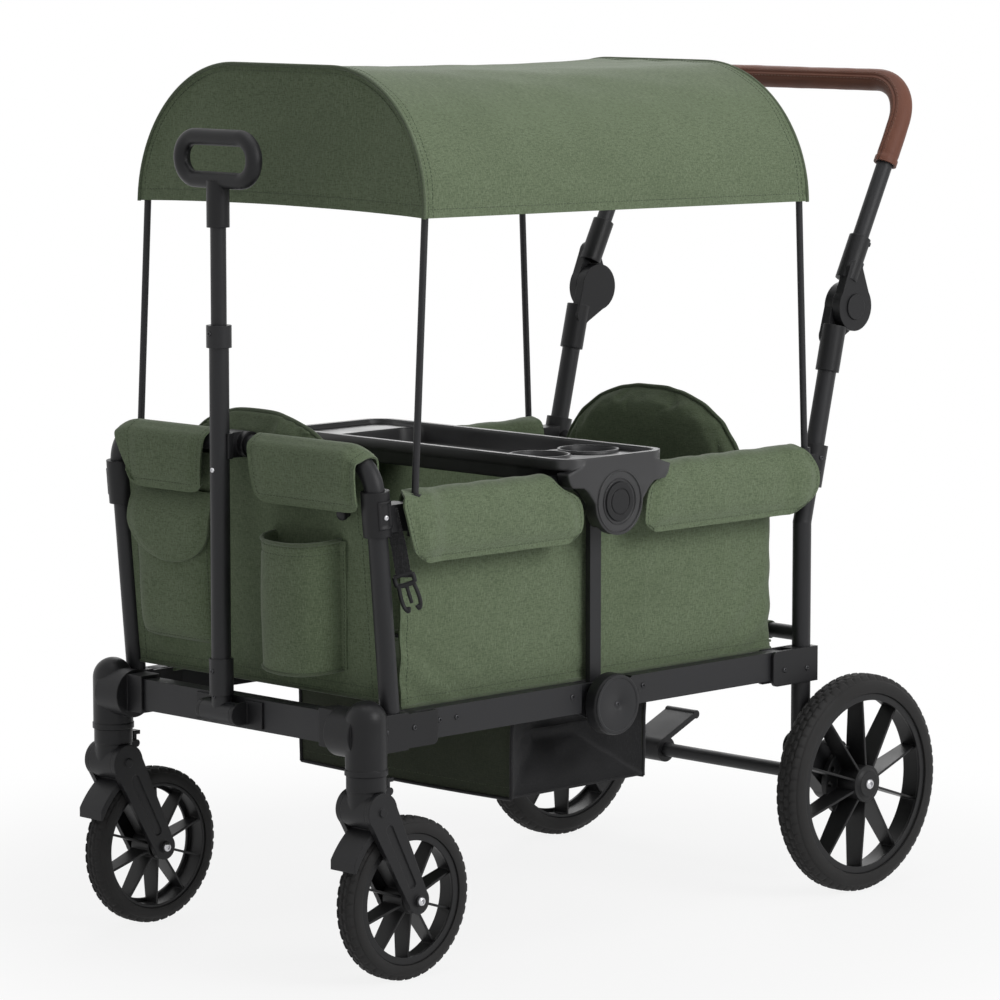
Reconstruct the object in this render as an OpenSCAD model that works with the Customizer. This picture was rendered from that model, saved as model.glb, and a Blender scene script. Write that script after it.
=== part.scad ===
// Folding stroller wagon: a fabric tub on a tube frame with two casters, two large rear wheels,
// a pull handle, an adjustable push handle, a clip-on tray and a canopy on two bows.
// Lengths in millimetres. X runs across (the wagon's left is +X), Y runs from front to rear, Z is up.

/* [Rear wheels] */
// Diameter over the rear tyres
rear_wheel_d = 296; // [260:1:320]
// Width of the rear tyres
rear_tyre_w = 42; // [34:1:48]
// Radial height of the rear tyre section
rear_tyre_h = 25; // [18:1:32]
// Room between the rear feet and the tyres
wheel_room = 7; // [4:0.5:12]
// Diameter of the rear hubs
rear_hub_d = 50; // [40:1:60]
// Diameter of the rear wheel spindles
rear_spindle_d = 12; // [8:0.5:14]
// Thickness of a web spoke
spoke_t = 3; // [2:0.5:5]
// Number of spokes in each wheel
spoke_count = 10; // [8:1:12]

/* [Casters] */
// Diameter over the front tyres
front_wheel_d = 206; // [180:1:215]
// Width of the front tyres
front_tyre_w = 36; // [28:1:38]
// Radial height of the front tyre section
front_tyre_h = 20; // [15:1:26]
// Diameter of the front hubs
front_hub_d = 36; // [30:1:44]
// Diameter of the front axle bolts
front_axle_d = 10; // [8:0.5:12]
// Distance of the front axle behind the swivel axis
caster_trail = 61; // [50:1:70]
// Diameter of the domed swivel housings
dome_d = 52; // [46:1:58]
// Height of the swivel line between a housing and its caster
swivel_z = 266; // [258:1:276]
// Height of the fork's upper bolts
fork_z = 222; // [214:1:228]
// Clear width between the two arms of a fork
fork_gap = 44; // [42:0.5:50]
// Thickness of a fork arm
fork_arm_t = 8; // [6:0.5:10]
// Diameter of the swivel stems
stem_d = 14; // [10:0.5:18]

/* [Side frame] */
// Distance between the left and right post centre lines
frame_w = 480; // [460:1:500]
// Length of a half rail from pivot to pivot
rail_pitch = 337; // [310:1:360]
// Height of the lower rails' centre line
rail_z = 318; // [312:1:326]
// Height of the lower rail section
rail_h = 38; // [32:1:42]
// Width of the lower rail section
rail_w = 20; // [16:0.5:22]
// Height from the lower rail pivots to the upper ones
side_h = 263; // [240:1:285]
// Drop of the mid hinges below the end pivots
hinge_drop = 11; // [6:0.5:14]
// Diameter of the upper rails
upper_rail_d = 22; // [18:0.5:24]
// Height of the upper rails above their end pivots
upper_rail_rise = 17; // [12:0.5:20]
// Diameter of the posts and of the front hoop
post_d = 25; // [20:0.5:27]
// Wall of the round tubes
tube_wall = 1.6; // [1:0.1:2.5]
// Diameter of the fold pins
pin_d = 10; // [8:0.5:12]
// Diameter of the lower hinge covers
hinge_cover_d = 80; // [66:1:90]
// Diameter of the upper hinge covers under the tray
ear_hub_d = 56; // [48:1:60]
// Width of the flat mid posts
mid_post_w = 20; // [14:1:26]

/* [Front end] */
// Distance of the swivel axes ahead of the front pivots
stem_ahead = 78; // [74:1:90]
// Distance of the front posts ahead of the front pivots
front_post_ahead = 38; // [36:0.5:44]
// Forward lean of the front posts and hoop
front_lean = 5; // [0:0.5:8]
// Height of the front hoop's top bar
hoop_z = 655; // [640:1:690]
// Bend radius of the front hoop
hoop_r = 45; // [35:1:60]
// Height of the front crossbar section
crossbar_h = 40; // [30:1:44]
// Depth of the front crossbar section
crossbar_w = 24; // [18:1:26]

/* [Rear end] */
// Distance of the rear posts behind the rear pivots
rear_post_behind = 50; // [46:1:60]
// Distance of the rear axle behind the rear posts
axle_behind = 69; // [55:1:80]
// Diameter of the rear axle tube
axle_tube_d = 19; // [16:0.5:24]
// Height at which the rear posts bend back
bend_z = 505; // [480:1:520]
// Backward lean of the rear posts above the bend
rear_lean = 13.5; // [8:0.5:18]

/* [Push handle] */
// Height of the push handle's pivots
handle_z = 790; // [760:1:810]
// Diameter of the handle's hub discs
hub_disc_d = 65; // [56:1:72]
// Offset of the pivots behind the tubes
hub_offset = 21; // [18:0.5:24]
// Backward tilt of the handle
handle_tilt = 27; // [18:0.5:34]
// Length from the pivots to the grip bar
handle_len = 325; // [280:1:360]
// Bend radius of the handle
handle_r = 62; // [50:1:80]
// Diameter of the handle tube
handle_d = 22; // [18:0.5:24]
// Diameter over the leather grip
grip_d = 32; // [28:0.5:36]
// Length of leather on each arm, below the bends
grip_leg = 62; // [30:1:90]

/* [Pull handle] */
// Diameter of the lower pull tube
pull_d = 25; // [22:0.5:28]
// Diameter of the upper pull tube
pull_upper_d = 20; // [16:0.5:20.5]
// Height of the top of the lower pull tube
pull_joint_z = 806; // [760:1:830]
// Height of the centre of the oval grip
pull_grip_z = 1013; // [980:1:1040]
// Width of the oval grip
pull_grip_w = 156; // [130:1:170]
// Height of the oval grip
pull_grip_h = 74; // [66:1:90]
// Thickness of the oval grip's bar
pull_grip_bar = 21; // [16:0.5:22]

/* [Tray] */
// Length of the tray along the wagon
tray_len = 190; // [176:1:196]
// Height of the tray's rim
tray_z = 630; // [626:1:640]
// Height of the tray's wall
tray_depth = 31; // [26:1:36]
// Depth of the cup holders below the tray's rim
cup_depth = 39; // [34:1:40]
// Diameter of the cup holders
cup_d = 74; // [60:1:78]
// Diameter of the round tray ears
ear_d = 86; // [80:1:92]
// Diameter of the tray release buttons
tray_button_d = 50; // [40:1:54]

/* [Canopy] */
// Distance of the canopy poles outside the posts' centre lines
pole_out = 19; // [17:0.5:22]
// Diameter of the canopy poles
pole_d = 9; // [7:0.5:9.5]
// Height of the canopy's hem
hem_z = 940; // [900:1:980]
// Height of the top of the canopy
canopy_z = 1127; // [1080:1:1160]
// Corner radius of the canopy arch
canopy_r = 176; // [130:1:180]
// Slope of the canopy's top down to the rear, in degrees
canopy_slope = 0.7; // [0:0.1:2]
// Thickness of the canopy cover
canopy_t = 3; // [2:0.5:5]

/* [Soft goods] */
// Room between the tub's sides and the mid posts
tub_room = 7.5; // [4:0.5:15]
// Height of the underside of the tub's floor
tub_z = 342; // [340:1:352]
// Height of the tub's side walls
tub_h = 245; // [200:1:250]
// Thickness of fabric walls
cloth_t = 4; // [3:0.5:5]
// Depth of the footwell's floor below the rails
well_z = 190; // [170:1:230]
// Length of the footwell along the wagon
well_len = 250; // [200:1:280]
// Width of the footwell
well_w = 404; // [360:1:406]
// Height of the seat backs above the tub's floor
seat_back_h = 340; // [300:1:360]
// Room between the seats and the tub's sides
seat_room = 18; // [10:1:30]
// Depth of a seat cushion
seat_depth = 190; // [150:1:205]
// Thickness of a seat cushion
seat_t = 42; // [30:1:55]
// Drop of the side flaps below the upper rails
flap_drop = 76; // [50:1:80]

/* [Hidden] */
$fn = 48;
eps = 0.05;
run_clear = 0.05;
fit_clear = 0.1;
gap = 0.4;
open_clear = 0.3;

fw = frame_w / 2;
front_reach = rail_pitch + stem_ahead + front_wheel_d / 2 - caster_trail;
hub_behind = (handle_z - bend_z) * tan(rear_lean) + hub_offset / cos(rear_lean);
grip_behind = handle_len * sin(handle_tilt) - hub_offset * cos(handle_tilt) + grip_d / 2;
rear_reach = rail_pitch + rear_post_behind + hub_behind + grip_behind;
mid_y = (front_reach - rear_reach) / 2;
front_pivot_y = mid_y - rail_pitch;
rear_pivot_y = mid_y + rail_pitch;
stem_y = front_pivot_y - stem_ahead;
front_post_y = front_pivot_y - front_post_ahead;
rear_post_y = rear_pivot_y + rear_post_behind;
axle_y = rear_post_y + axle_behind;
axle_z = rear_wheel_d / 2;
mid_z = rail_z - hinge_drop;
upper_z = rail_z + side_h;
mid_upper_z = upper_z - hinge_drop;
half_rail = rail_w / 2;
lap_t = half_rail - gap / 2;
cheek_t = 4;
cheek_out_t = 5;
cheek_gap = half_rail + gap;
block_in = cheek_gap + cheek_t;
block_out = cheek_gap + cheek_out_t;

// Colours of the finishes
frame_black = [0.11, 0.11, 0.12];
moulded_black = [0.16, 0.16, 0.17];
tyre_black = [0.08, 0.08, 0.08];
sage = [0.40, 0.48, 0.35];
deep_sage = [0.27, 0.33, 0.23];
leather_brown = [0.37, 0.22, 0.17];
steel = [0.75, 0.75, 0.76];

// Copies its children to the left and the right
module both_sides() {
    children();
    mirror([1, 0, 0]) children();
}

// Puts its children on the left (side 1) or, mirrored, on the right (side -1)
module on_side(side) {
    if (side > 0) children();
    else mirror([1, 0, 0]) children();
}

// Cylinder along X between two x positions at a given y and z
module x_rod(x1, x2, y, z, d) {
    translate([x1, y, z]) rotate([0, 90, 0]) cylinder(h = x2 - x1, d = d);
}

// Extrudes a profile drawn in the YZ plane from x1 to x2
module x_plate(x1, x2) {
    translate([x1, 0, 0]) rotate([90, 0, 90]) linear_extrude(x2 - x1) children();
}

// The two cheek plates of a left-hand clevis, from a profile drawn in the YZ plane
module cheeks() {
    x_plate(fw - block_in, fw - cheek_gap) children();
    x_plate(fw + cheek_gap, fw + block_out) children();
}

// Block as wide as a left-hand clevis between two y and two z positions
module clevis_block(y1, y2, z1, z2) {
    translate([fw - block_in, y1, z1]) cube([block_in + block_out, y2 - y1, z2 - z1]);
}

// Pin across a left-hand clevis
module clevis_pin(y, z) {
    x_rod(fw - block_in, fw + block_out, y, z, pin_d);
}

// Outline of a link: two round ends joined by a web a little narrower than their tangents
module link2d(p, rp, q, rq) {
    web = 0.97;
    a = atan2(q.y - p.y, q.x - p.x);
    b = acos((rp - rq) / norm(q - p));
    translate(p) circle(r = rp);
    translate(q) circle(r = rq);
    polygon([
        p + web * rp * [cos(a + b), sin(a + b)],
        p + web * rp * [cos(a - b), sin(a - b)],
        q + web * rq * [cos(a - b), sin(a - b)],
        q + web * rq * [cos(a + b), sin(a + b)]
    ]);
}

// Rectangle with round corners, centred
module round_rect(w, l, r) {
    square([w, l - 2 * r], center = true);
    square([w - 2 * r, l], center = true);
    for (sx = [-1, 1], sy = [-1, 1]) translate([sx * (w / 2 - r), sy * (l / 2 - r)]) circle(r = r);
}

// Solid bar bent into an upright U: two legs, two quarter bends and a top bar
module u_bar(w, h, r, d) {
    both_sides() {
        translate([w / 2, 0, 0]) cylinder(h = h - r, d = d);
        translate([w / 2 - r, 0, h - r]) rotate([90, 0, 0])
            rotate_extrude(angle = 90) translate([r, 0]) circle(d = d);
        translate([0, 0, h]) rotate([0, 90, 0]) cylinder(h = w / 2 - r, d = d);
    }
}

// Closed solid between an outer and an inner grid of points, rows by columns
module skin_solid(outer, inner) {
    rows = len(outer);
    cols = len(outer[0]);
    n = rows * cols;
    points = concat([for (r = outer) each r], [for (r = inner) each r]);
    quads = [for (i = [0 : rows - 2], j = [0 : cols - 2])
        [i * cols + j, i * cols + j + 1, (i + 1) * cols + j + 1, (i + 1) * cols + j]];
    rim = concat(
        [for (j = [0 : cols - 2]) [j, j + 1]],
        [for (i = [0 : rows - 2]) [i * cols + cols - 1, (i + 1) * cols + cols - 1]],
        [for (j = [cols - 1 : -1 : 1]) [(rows - 1) * cols + j, (rows - 1) * cols + j - 1]],
        [for (i = [rows - 1 : -1 : 1]) [i * cols, (i - 1) * cols]]);
    polyhedron(points, concat(
        [for (q = quads) [q[0], q[1], q[2]]],
        [for (q = quads) [q[0], q[2], q[3]]],
        [for (q = quads) [n + q[0], n + q[2], n + q[1]]],
        [for (q = quads) [n + q[0], n + q[3], n + q[2]]],
        [for (e = rim) [e[1], e[0], n + e[0]]],
        [for (e = rim) [e[1], n + e[0], n + e[1]]]));
}

// Wheels

// Tyre section turned about Z: rounded shoulders and two tread grooves
module tyre(d, w, h) {
    r = d / 2;
    shoulder = min(w * 0.3, h * 0.49);
    groove = 2;
    groove_x = w / 6;
    rotate_extrude($fn = 96) difference() {
        union() {
            translate([r - h, -w / 2]) square([h - shoulder, w]);
            translate([r - h, -w / 2 + shoulder]) square([h, w - 2 * shoulder]);
            for (s = [-1, 1]) translate([r - shoulder, s * (w / 2 - shoulder)]) circle(r = shoulder);
        }
        for (s = [-1, 1]) translate([r - groove, s * groove_x - groove / 2]) square(2 * groove);
    }
}

// Spoked wheel turned about Z: rim barrel with an outer lip, tapered web spokes, hub and cap
module rim(d, w, h, hub_d, bore_d, hub_half) {
    seat_r = d / 2 - h - 1.25 * gap;
    barrel_t = 4;
    lip = 5;
    barrel_w = w * 0.8;
    difference() {
        union() {
            rotate_extrude($fn = 96) {
                translate([seat_r - barrel_t, -barrel_w / 2]) square([barrel_t, barrel_w]);
                translate([seat_r - barrel_t - lip, barrel_w / 2 - barrel_t]) square([lip + 1, barrel_t]);
            }
            translate([0, 0, -hub_half]) cylinder(h = 2 * hub_half, d = hub_d);
            translate([0, 0, hub_half]) cylinder(h = 3, d1 = hub_d * 0.86, d2 = hub_d * 0.7);
            for (i = [0 : spoke_count - 1]) rotate([0, 0, i * 360 / spoke_count])
                translate([0, spoke_t / 2, 0]) rotate([90, 0, 0]) linear_extrude(spoke_t) polygon([
                    [hub_d / 2 - 2, -hub_half * 0.9],
                    [seat_r - barrel_t + 1, -barrel_w * 0.42],
                    [seat_r - barrel_t + 1, barrel_w * 0.30],
                    [hub_d / 2 - 2, hub_half * 0.9]
                ]);
        }
        translate([0, 0, -2 * hub_half]) cylinder(h = 4 * hub_half, d = bore_d);
    }
}

foot_in = 15;
foot_out = 12;
rear_x = fw + foot_out + wheel_room + rear_tyre_w / 2;
rear_hub_half = 20;
front_hub_half = 17;
brake_slots = 12;
brake_ring_r = 40;
brake_slot_d = 8;
brake_ring_t = 8;

module place_rear_wheel(side) {
    on_side(side) translate([rear_x, axle_y, axle_z]) rotate([0, 90, 0]) children();
}

module rear_tyre(side) {
    color(tyre_black) place_rear_wheel(side) tyre(rear_wheel_d, rear_tyre_w, rear_tyre_h);
}

// Rear rim with the slotted brake ring on its inner face and a cap over the spindle's end
module rear_rim(side) {
    slot_ring_d = 2 * brake_ring_r + 2 * brake_slot_d;
    bore_d = rear_spindle_d + 2 * run_clear;
    cap_t = 4;
    color(moulded_black) place_rear_wheel(side) difference() {
        union() {
            rim(rear_wheel_d, rear_tyre_w, rear_tyre_h, rear_hub_d, bore_d, rear_hub_half);
            translate([0, 0, -rear_hub_half]) cylinder(h = brake_ring_t, d = slot_ring_d);
            translate([0, 0, rear_hub_half]) cylinder(h = cap_t, d = rear_hub_d * 0.7);
        }
        for (i = [0 : brake_slots - 1]) rotate([0, 0, i * 360 / brake_slots])
            translate([brake_ring_r, 0, -rear_hub_half - 1])
                cylinder(h = brake_ring_t + 2, d = brake_slot_d);
        translate([0, 0, -rear_hub_half - 1]) cylinder(h = 2 * rear_hub_half + 1, d = bore_d);
    }
}

fork_half = fork_gap / 2 + fork_arm_t;
front_axle_z = front_wheel_d / 2;
fork_top_r = 24;
fork_end_r = 17;

module place_caster(side) {
    on_side(side) translate([fw, stem_y, 0]) children();
}

module place_front_wheel(side) {
    place_caster(side) translate([0, caster_trail, front_axle_z]) rotate([0, 90, 0]) children();
}

module front_tyre(side) {
    color(tyre_black) place_front_wheel(side) tyre(front_wheel_d, front_tyre_w, front_tyre_h);
}

module front_rim(side) {
    bore_d = front_axle_d + 2 * run_clear;
    color(moulded_black) place_front_wheel(side)
        rim(front_wheel_d, front_tyre_w, front_tyre_h, front_hub_d, bore_d, front_hub_half);
}

stem_len = 50;
lock_pin_d = 4;
lock_y = dome_d / 2 + 5;
lock_z = swivel_z - 24;
lever_w = 14;

// Swivel crown: stem, round collar, cross barrel and the guard in front of the tyre
module caster_crown(side) {
    collar_h = swivel_z - fork_z - fork_top_r - gap;
    collar_w = dome_d - 2;
    neck_h = swivel_z - fork_z - collar_h / 2;
    lug_t = 3;
    guard_in = front_wheel_d / 2 + 6;
    guard_t = 8;
    guard_ahead = 40;
    guard_w = fork_gap - 2 * fit_clear;
    color(moulded_black) place_caster(side) {
        difference() {
            union() {
                translate([0, 0, swivel_z - collar_h]) cylinder(h = collar_h - gap, d = collar_w);
                intersection() {
                    translate([0, 0, fork_z]) cylinder(h = neck_h, d = collar_w - 2);
                    translate([0, 0, fork_z]) cube([guard_w, 2 * collar_w, 3 * neck_h], center = true);
                }
                translate([0, 0, swivel_z - gap - eps]) cylinder(h = stem_len, d = stem_d);
                x_rod(-guard_w / 2, guard_w / 2, 0, fork_z, 2 * fork_top_r);
                for (s = [0, 1]) mirror([s, 0, 0]) x_plate(lever_w / 2 + gap, lever_w / 2 + gap + lug_t)
                    link2d([0, lock_z], 8, [lock_y, lock_z], 5);
                x_rod(-lever_w / 2 - gap - 1, lever_w / 2 + gap + 1, lock_y, lock_z, lock_pin_d);
                x_plate(-guard_w / 2, guard_w / 2) intersection() {
                    difference() {
                        translate([caster_trail, front_axle_z]) circle(r = guard_in + guard_t, $fn = 96);
                        translate([caster_trail, front_axle_z]) circle(r = guard_in, $fn = 96);
                    }
                    translate([-guard_ahead, fork_z - 3 * fork_top_r])
                        square([guard_ahead + fork_top_r / 2, 3 * fork_top_r]);
                }
            }
            translate([0, caster_trail, front_axle_z]) rotate([0, 90, 0])
                cylinder(h = 2 * fork_gap, r = guard_in - 1, center = true, $fn = 96);
        }
    }
}

// Fork: two slotted arms joined by the axle bolt, with its heads
module caster_fork(side) {
    slot_r = 6;
    slot_deep = 2;
    arm_a = atan2(front_axle_z - fork_z, caster_trail);
    arm_dir = [cos(arm_a), sin(arm_a)];
    top_p = [0, fork_z];
    end_p = [caster_trail, front_axle_z];
    slot_inset = 26;
    boss_d = 12;
    boss_t = 2;
    head_d = 15;
    head_t = 4;
    color(moulded_black) place_caster(side) {
        both_sides() difference() {
            union() {
                x_plate(fork_gap / 2, fork_half) link2d(top_p, fork_top_r, end_p, fork_end_r);
                x_rod(fork_half, fork_half + boss_t, 0, fork_z, boss_d);
            }
            x_plate(fork_half - slot_deep, fork_half + 1)
                link2d(top_p + slot_inset * arm_dir, slot_r, end_p - slot_inset * arm_dir, slot_r);
        }
        color(steel) {
            x_rod(-fork_half - eps, fork_half + eps, caster_trail, front_axle_z, front_axle_d);
            both_sides() x_rod(fork_half, fork_half + head_t, caster_trail, front_axle_z, head_d);
        }
    }
}

// Swivel lock lever behind the crown's collar, with its own pivot lugs
module swivel_lock(side) {
    lever_h = 16;
    lever_t = 5;
    tab = 11;
    color(frame_black) place_caster(side) difference() {
        union() {
            x_rod(-lever_w / 2, lever_w / 2, lock_y, lock_z, 8);
            translate([-lever_w / 2, lock_y - lever_t / 2, lock_z]) cube([lever_w, lever_t, lever_h]);
            translate([-lever_w / 2, lock_y - lever_t / 2, lock_z + lever_h - lever_t])
                cube([lever_w, tab, lever_t]);
        }
        x_rod(-lever_w, lever_w, lock_y, lock_z, lock_pin_d + 2 * run_clear);
    }
}

// Front end

// Carries its children along the front posts' lean, with z measured up the post
post_foot_z = rail_z + rail_h / 2 + 1;
module lean_front() {
    translate([0, front_post_y, post_foot_z]) rotate([front_lean, 0, 0]) children();
}
post_len = (upper_z - post_foot_z) / cos(front_lean) + 6;
hoop_h = (hoop_z - post_foot_z) / cos(front_lean) - post_len;

module front_posts() {
    color(frame_black) lean_front() both_sides() translate([fw, 0, 0]) difference() {
        cylinder(h = post_len, d = post_d);
        translate([0, 0, -1]) cylinder(h = post_len + 2, d = post_d - 2 * tube_wall);
    }
}

module front_hoop() {
    color(frame_black) lean_front() translate([0, 0, post_len + eps]) difference() {
        u_bar(2 * fw, hoop_h, hoop_r, post_d);
        translate([0, 0, -eps]) u_bar(2 * fw, hoop_h + eps, hoop_r, post_d - 2 * tube_wall);
    }
}

socket_d = pole_d + 7;
socket_len = 52;
socket_floor = 4;
pole_x = fw + pole_out;
front_pole_y = front_pivot_y - 15;
front_pole_lean = -3;
rear_pole_y = rear_pivot_y + 34;
rear_pole_lean = 2.5;
pole_foot_z = upper_z - 24;
collar_d = post_d + 11;
collar_len = 56;
lug_r = 14;
arm_h = 34;

// Canopy pole socket standing on a cheek, leaning as the pole does
module pole_socket(y, lean) {
    translate([pole_x, y, pole_foot_z]) rotate([lean, 0, 0]) cylinder(h = socket_len, d = socket_d);
}

// Bore of a pole socket, open at its top
module pole_bore(y, lean) {
    translate([pole_x, y, pole_foot_z]) rotate([lean, 0, 0]) translate([0, 0, socket_floor])
        cylinder(h = socket_len, d = pole_d + 2 * run_clear);
}

// Collars that join posts and hoop, carry the upper rails' front pins and hold the canopy poles
module front_collars() {
    arm_y = front_post_y - (upper_z - post_foot_z) * tan(front_lean);
    slot_y = front_pivot_y - lug_r - 2;
    color(moulded_black) both_sides() difference() {
        union() {
            lean_front() translate([fw, 0, post_len - collar_len / 2])
                cylinder(h = collar_len, d = collar_d);
            clevis_block(arm_y, slot_y, upper_z - arm_h / 2, upper_z + arm_h / 2);
            cheeks()
                link2d([slot_y - 6, upper_z], arm_h / 2, [front_pivot_y, upper_z], lug_r + 2);
            clevis_pin(front_pivot_y, upper_z);
            pole_socket(front_pole_y, front_pole_lean);
        }
        lean_front() translate([fw, 0, -post_len]) cylinder(h = 3 * post_len, d = post_d + 2 * fit_clear);
        pole_bore(front_pole_y, front_pole_lean);
        difference() {
            x_plate(fw - cheek_gap, fw + cheek_gap)
                translate([slot_y, upper_z - arm_h]) square([3 * arm_h, 2 * arm_h]);
            clevis_pin(front_pivot_y, upper_z);
        }
    }
}

flange_w = 18;
crossbar_y = stem_y + 3;

// Domed swivel housings with the crossbar flange, the post seat and the lower rails' front clevis
module caster_housings() {
    dome_r = dome_d / 2;
    dome_rise = 92;
    dome_top = swivel_z + dome_rise;
    ring_h = 7;
    flange_d = 62;
    sleeve_len = 28;
    sleeve_t = 4;
    sleeve_x = fw - dome_r - flange_w - sleeve_len;
    bar_y = crossbar_y - crossbar_w / 2;
    bar_z = rail_z - crossbar_h / 2;
    seat_low = rail_z - rail_h / 2 - 8;
    seat_high = post_foot_z - eps;
    slot_y = front_pivot_y - rail_h / 2 - 2;
    cheek_end = front_pivot_y + rail_h / 2 + 10;
    round_r = 8;
    color(moulded_black) both_sides() difference() {
        union() {
            translate([fw, stem_y, swivel_z]) cylinder(h = dome_top - dome_r - swivel_z, d = dome_d);
            translate([fw, stem_y, swivel_z]) cylinder(h = ring_h, d = dome_d + 2);
            translate([fw, stem_y, dome_top - dome_r]) sphere(d = dome_d);
            x_rod(fw - dome_r - flange_w, fw, stem_y, rail_z - 3, flange_d);
            translate([sleeve_x, bar_y - sleeve_t, bar_z - sleeve_t])
                cube([sleeve_len + 1, crossbar_w + 2 * sleeve_t, crossbar_h + 2 * sleeve_t]);
            clevis_block(stem_y, slot_y, seat_low, seat_high);
            cheeks() {
                translate([slot_y - 1, seat_low + 2])
                    square([cheek_end - slot_y - round_r + 2, seat_high - seat_low - 4]);
                translate([slot_y - 1, seat_low + round_r + 2])
                    square([cheek_end - slot_y + 2, seat_high - seat_low - round_r - 4]);
                translate([cheek_end + 1 - round_r, seat_low + round_r + 2]) circle(r = round_r);
            }
            clevis_pin(front_pivot_y, rail_z);
        }
        translate([fw, stem_y, swivel_z - 1]) cylinder(h = stem_len + 4, d = stem_d + 2 * run_clear);
        lean_front() translate([fw, 0, 0]) cylinder(h = rail_h, d = post_d + 2 * fit_clear);
        translate([sleeve_x - 1, bar_y - fit_clear, bar_z - fit_clear])
            cube([sleeve_len - sleeve_t, crossbar_w + 2 * fit_clear, crossbar_h + 2 * fit_clear]);
    }
}

// Front crossbar: rectangular tube between the two housings
module front_crossbar() {
    seat_in = 6;
    half = fw - dome_d / 2 - flange_w - seat_in;
    color(frame_black) translate([0, crossbar_y, rail_z]) difference() {
        cube([2 * half, crossbar_w, crossbar_h], center = true);
        cube([2 * half + 2, crossbar_w - 2 * tube_wall, crossbar_h - 2 * tube_wall], center = true);
    }
}

pull_barrel_d = pull_d + 3;
pull_y = crossbar_y - crossbar_w / 2 - pull_barrel_d / 2 - 1;
pull_barrel_half = 28;
pull_pin_d = 8;
clip_w = 18;
clip_t = 4;
pull_z = rail_z;

// Pivot bracket of the pull handle on the crossbar, and the spring clip on the front hoop
module pull_mounts() {
    plate_half = 62;
    plate_t = 3;
    ear_t = 6;
    ear_in = pull_barrel_half + gap;
    plate_y = crossbar_y - crossbar_w / 2 - plate_t;
    hoop_y = front_post_y - (hoop_z - post_foot_z) * tan(front_lean);
    clip_h = 32;
    clip_r = pull_d / 2 + open_clear;
    color(moulded_black) {
        both_sides() {
            x_plate(ear_in, ear_in + ear_t) {
                translate([pull_y, pull_z]) circle(d = pull_barrel_d);
                translate([pull_y, pull_z - pull_barrel_d / 2])
                    square([plate_y + plate_t - pull_y, pull_barrel_d]);
            }
            translate([ear_in, plate_y, pull_z - crossbar_h / 2 + plate_t])
                cube([plate_half - ear_in, plate_t, crossbar_h - 2 * plate_t]);
        }
        x_rod(-ear_in - ear_t, ear_in + ear_t, pull_y, pull_z, pull_pin_d);
        difference() {
            union() {
                x_rod(-clip_w, clip_w, hoop_y, hoop_z, post_d + 2 * clip_t);
                translate([-clip_w / 2, pull_y, hoop_z - clip_h / 2])
                    cube([clip_w, hoop_y - pull_y, clip_h]);
                translate([0, pull_y, hoop_z - clip_h / 2]) cylinder(h = clip_h, r = clip_r + clip_t);
            }
            x_rod(-2 * clip_w, 2 * clip_w, hoop_y, hoop_z, post_d + 2 * fit_clear);
            translate([0, pull_y, hoop_z - clip_h]) cylinder(h = 2 * clip_h, r = clip_r);
            translate([-clip_w * 2, pull_y - 3 * pull_d, hoop_z - clip_h])
                cube([clip_w * 4, 3 * pull_d, 2 * clip_h]);
        }
    }
}

// Pull handle

// Lower pull tube with its pivot barrel, moulded socket and the ferrule at its top
module pull_tube_lower() {
    socket_low = pull_z + crossbar_h / 2 + 2;
    socket_rise = 68;
    socket_top = pull_z + socket_rise;
    ferrule_h = 28;
    ferrule_d = pull_d + 7;
    color(frame_black) difference() {
        union() {
            x_rod(-pull_barrel_half, pull_barrel_half, pull_y, pull_z, pull_barrel_d);
            translate([0, pull_y, socket_low]) cylinder(h = socket_top - socket_low, d = pull_d + 6);
            translate([0, pull_y, pull_z]) cylinder(h = pull_joint_z - pull_z, d = pull_d);
            translate([0, pull_y, pull_joint_z - ferrule_h]) cylinder(h = ferrule_h, d = ferrule_d);
        }
        x_rod(-2 * pull_barrel_half, 2 * pull_barrel_half, pull_y, pull_z, pull_pin_d + 2 * run_clear);
        translate([0, pull_y, pull_z + pull_barrel_d])
            cylinder(h = pull_joint_z, d = pull_upper_d + 2 * run_clear);
    }
}

pull_sleeve_len = 48;
pull_sleeve_z = pull_grip_z - pull_grip_h / 2 - pull_sleeve_len;
pull_seat = 45;

module pull_tube_upper() {
    insert = 240;
    color(frame_black) translate([0, pull_y, pull_joint_z - insert]) difference() {
        cylinder(h = pull_sleeve_z + pull_seat - 1 - pull_joint_z + insert, d = pull_upper_d);
        translate([0, 0, -1]) cylinder(h = 3 * insert, d = pull_upper_d - 2 * tube_wall);
    }
}

// Oval ring grip with its sleeve over the upper tube
module pull_grip() {
    sleeve_d = pull_upper_d + 9;
    ring_r = pull_grip_h / 2;
    ring_off = pull_grip_w / 2 - ring_r;
    bar = pull_grip_bar;
    color(moulded_black) difference() {
        union() {
            translate([0, pull_y, pull_grip_z]) {
                both_sides() translate([ring_off, 0, 0]) rotate([90, 0, 0]) rotate([0, 0, -90])
                    rotate_extrude(angle = 180) translate([ring_r - bar / 2, 0]) circle(d = bar);
                for (s = [-1, 1]) x_rod(-ring_off - eps, ring_off + eps, 0, s * (ring_r - bar / 2), bar);
            }
            translate([0, pull_y, pull_sleeve_z])
                cylinder(h = pull_grip_z - ring_r + bar / 2 - pull_sleeve_z, d = sleeve_d);
        }
        translate([0, pull_y, pull_sleeve_z - 1])
            cylinder(h = pull_seat + 1, d = pull_upper_d + 2 * fit_clear);
    }
}

// Side rails

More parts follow.
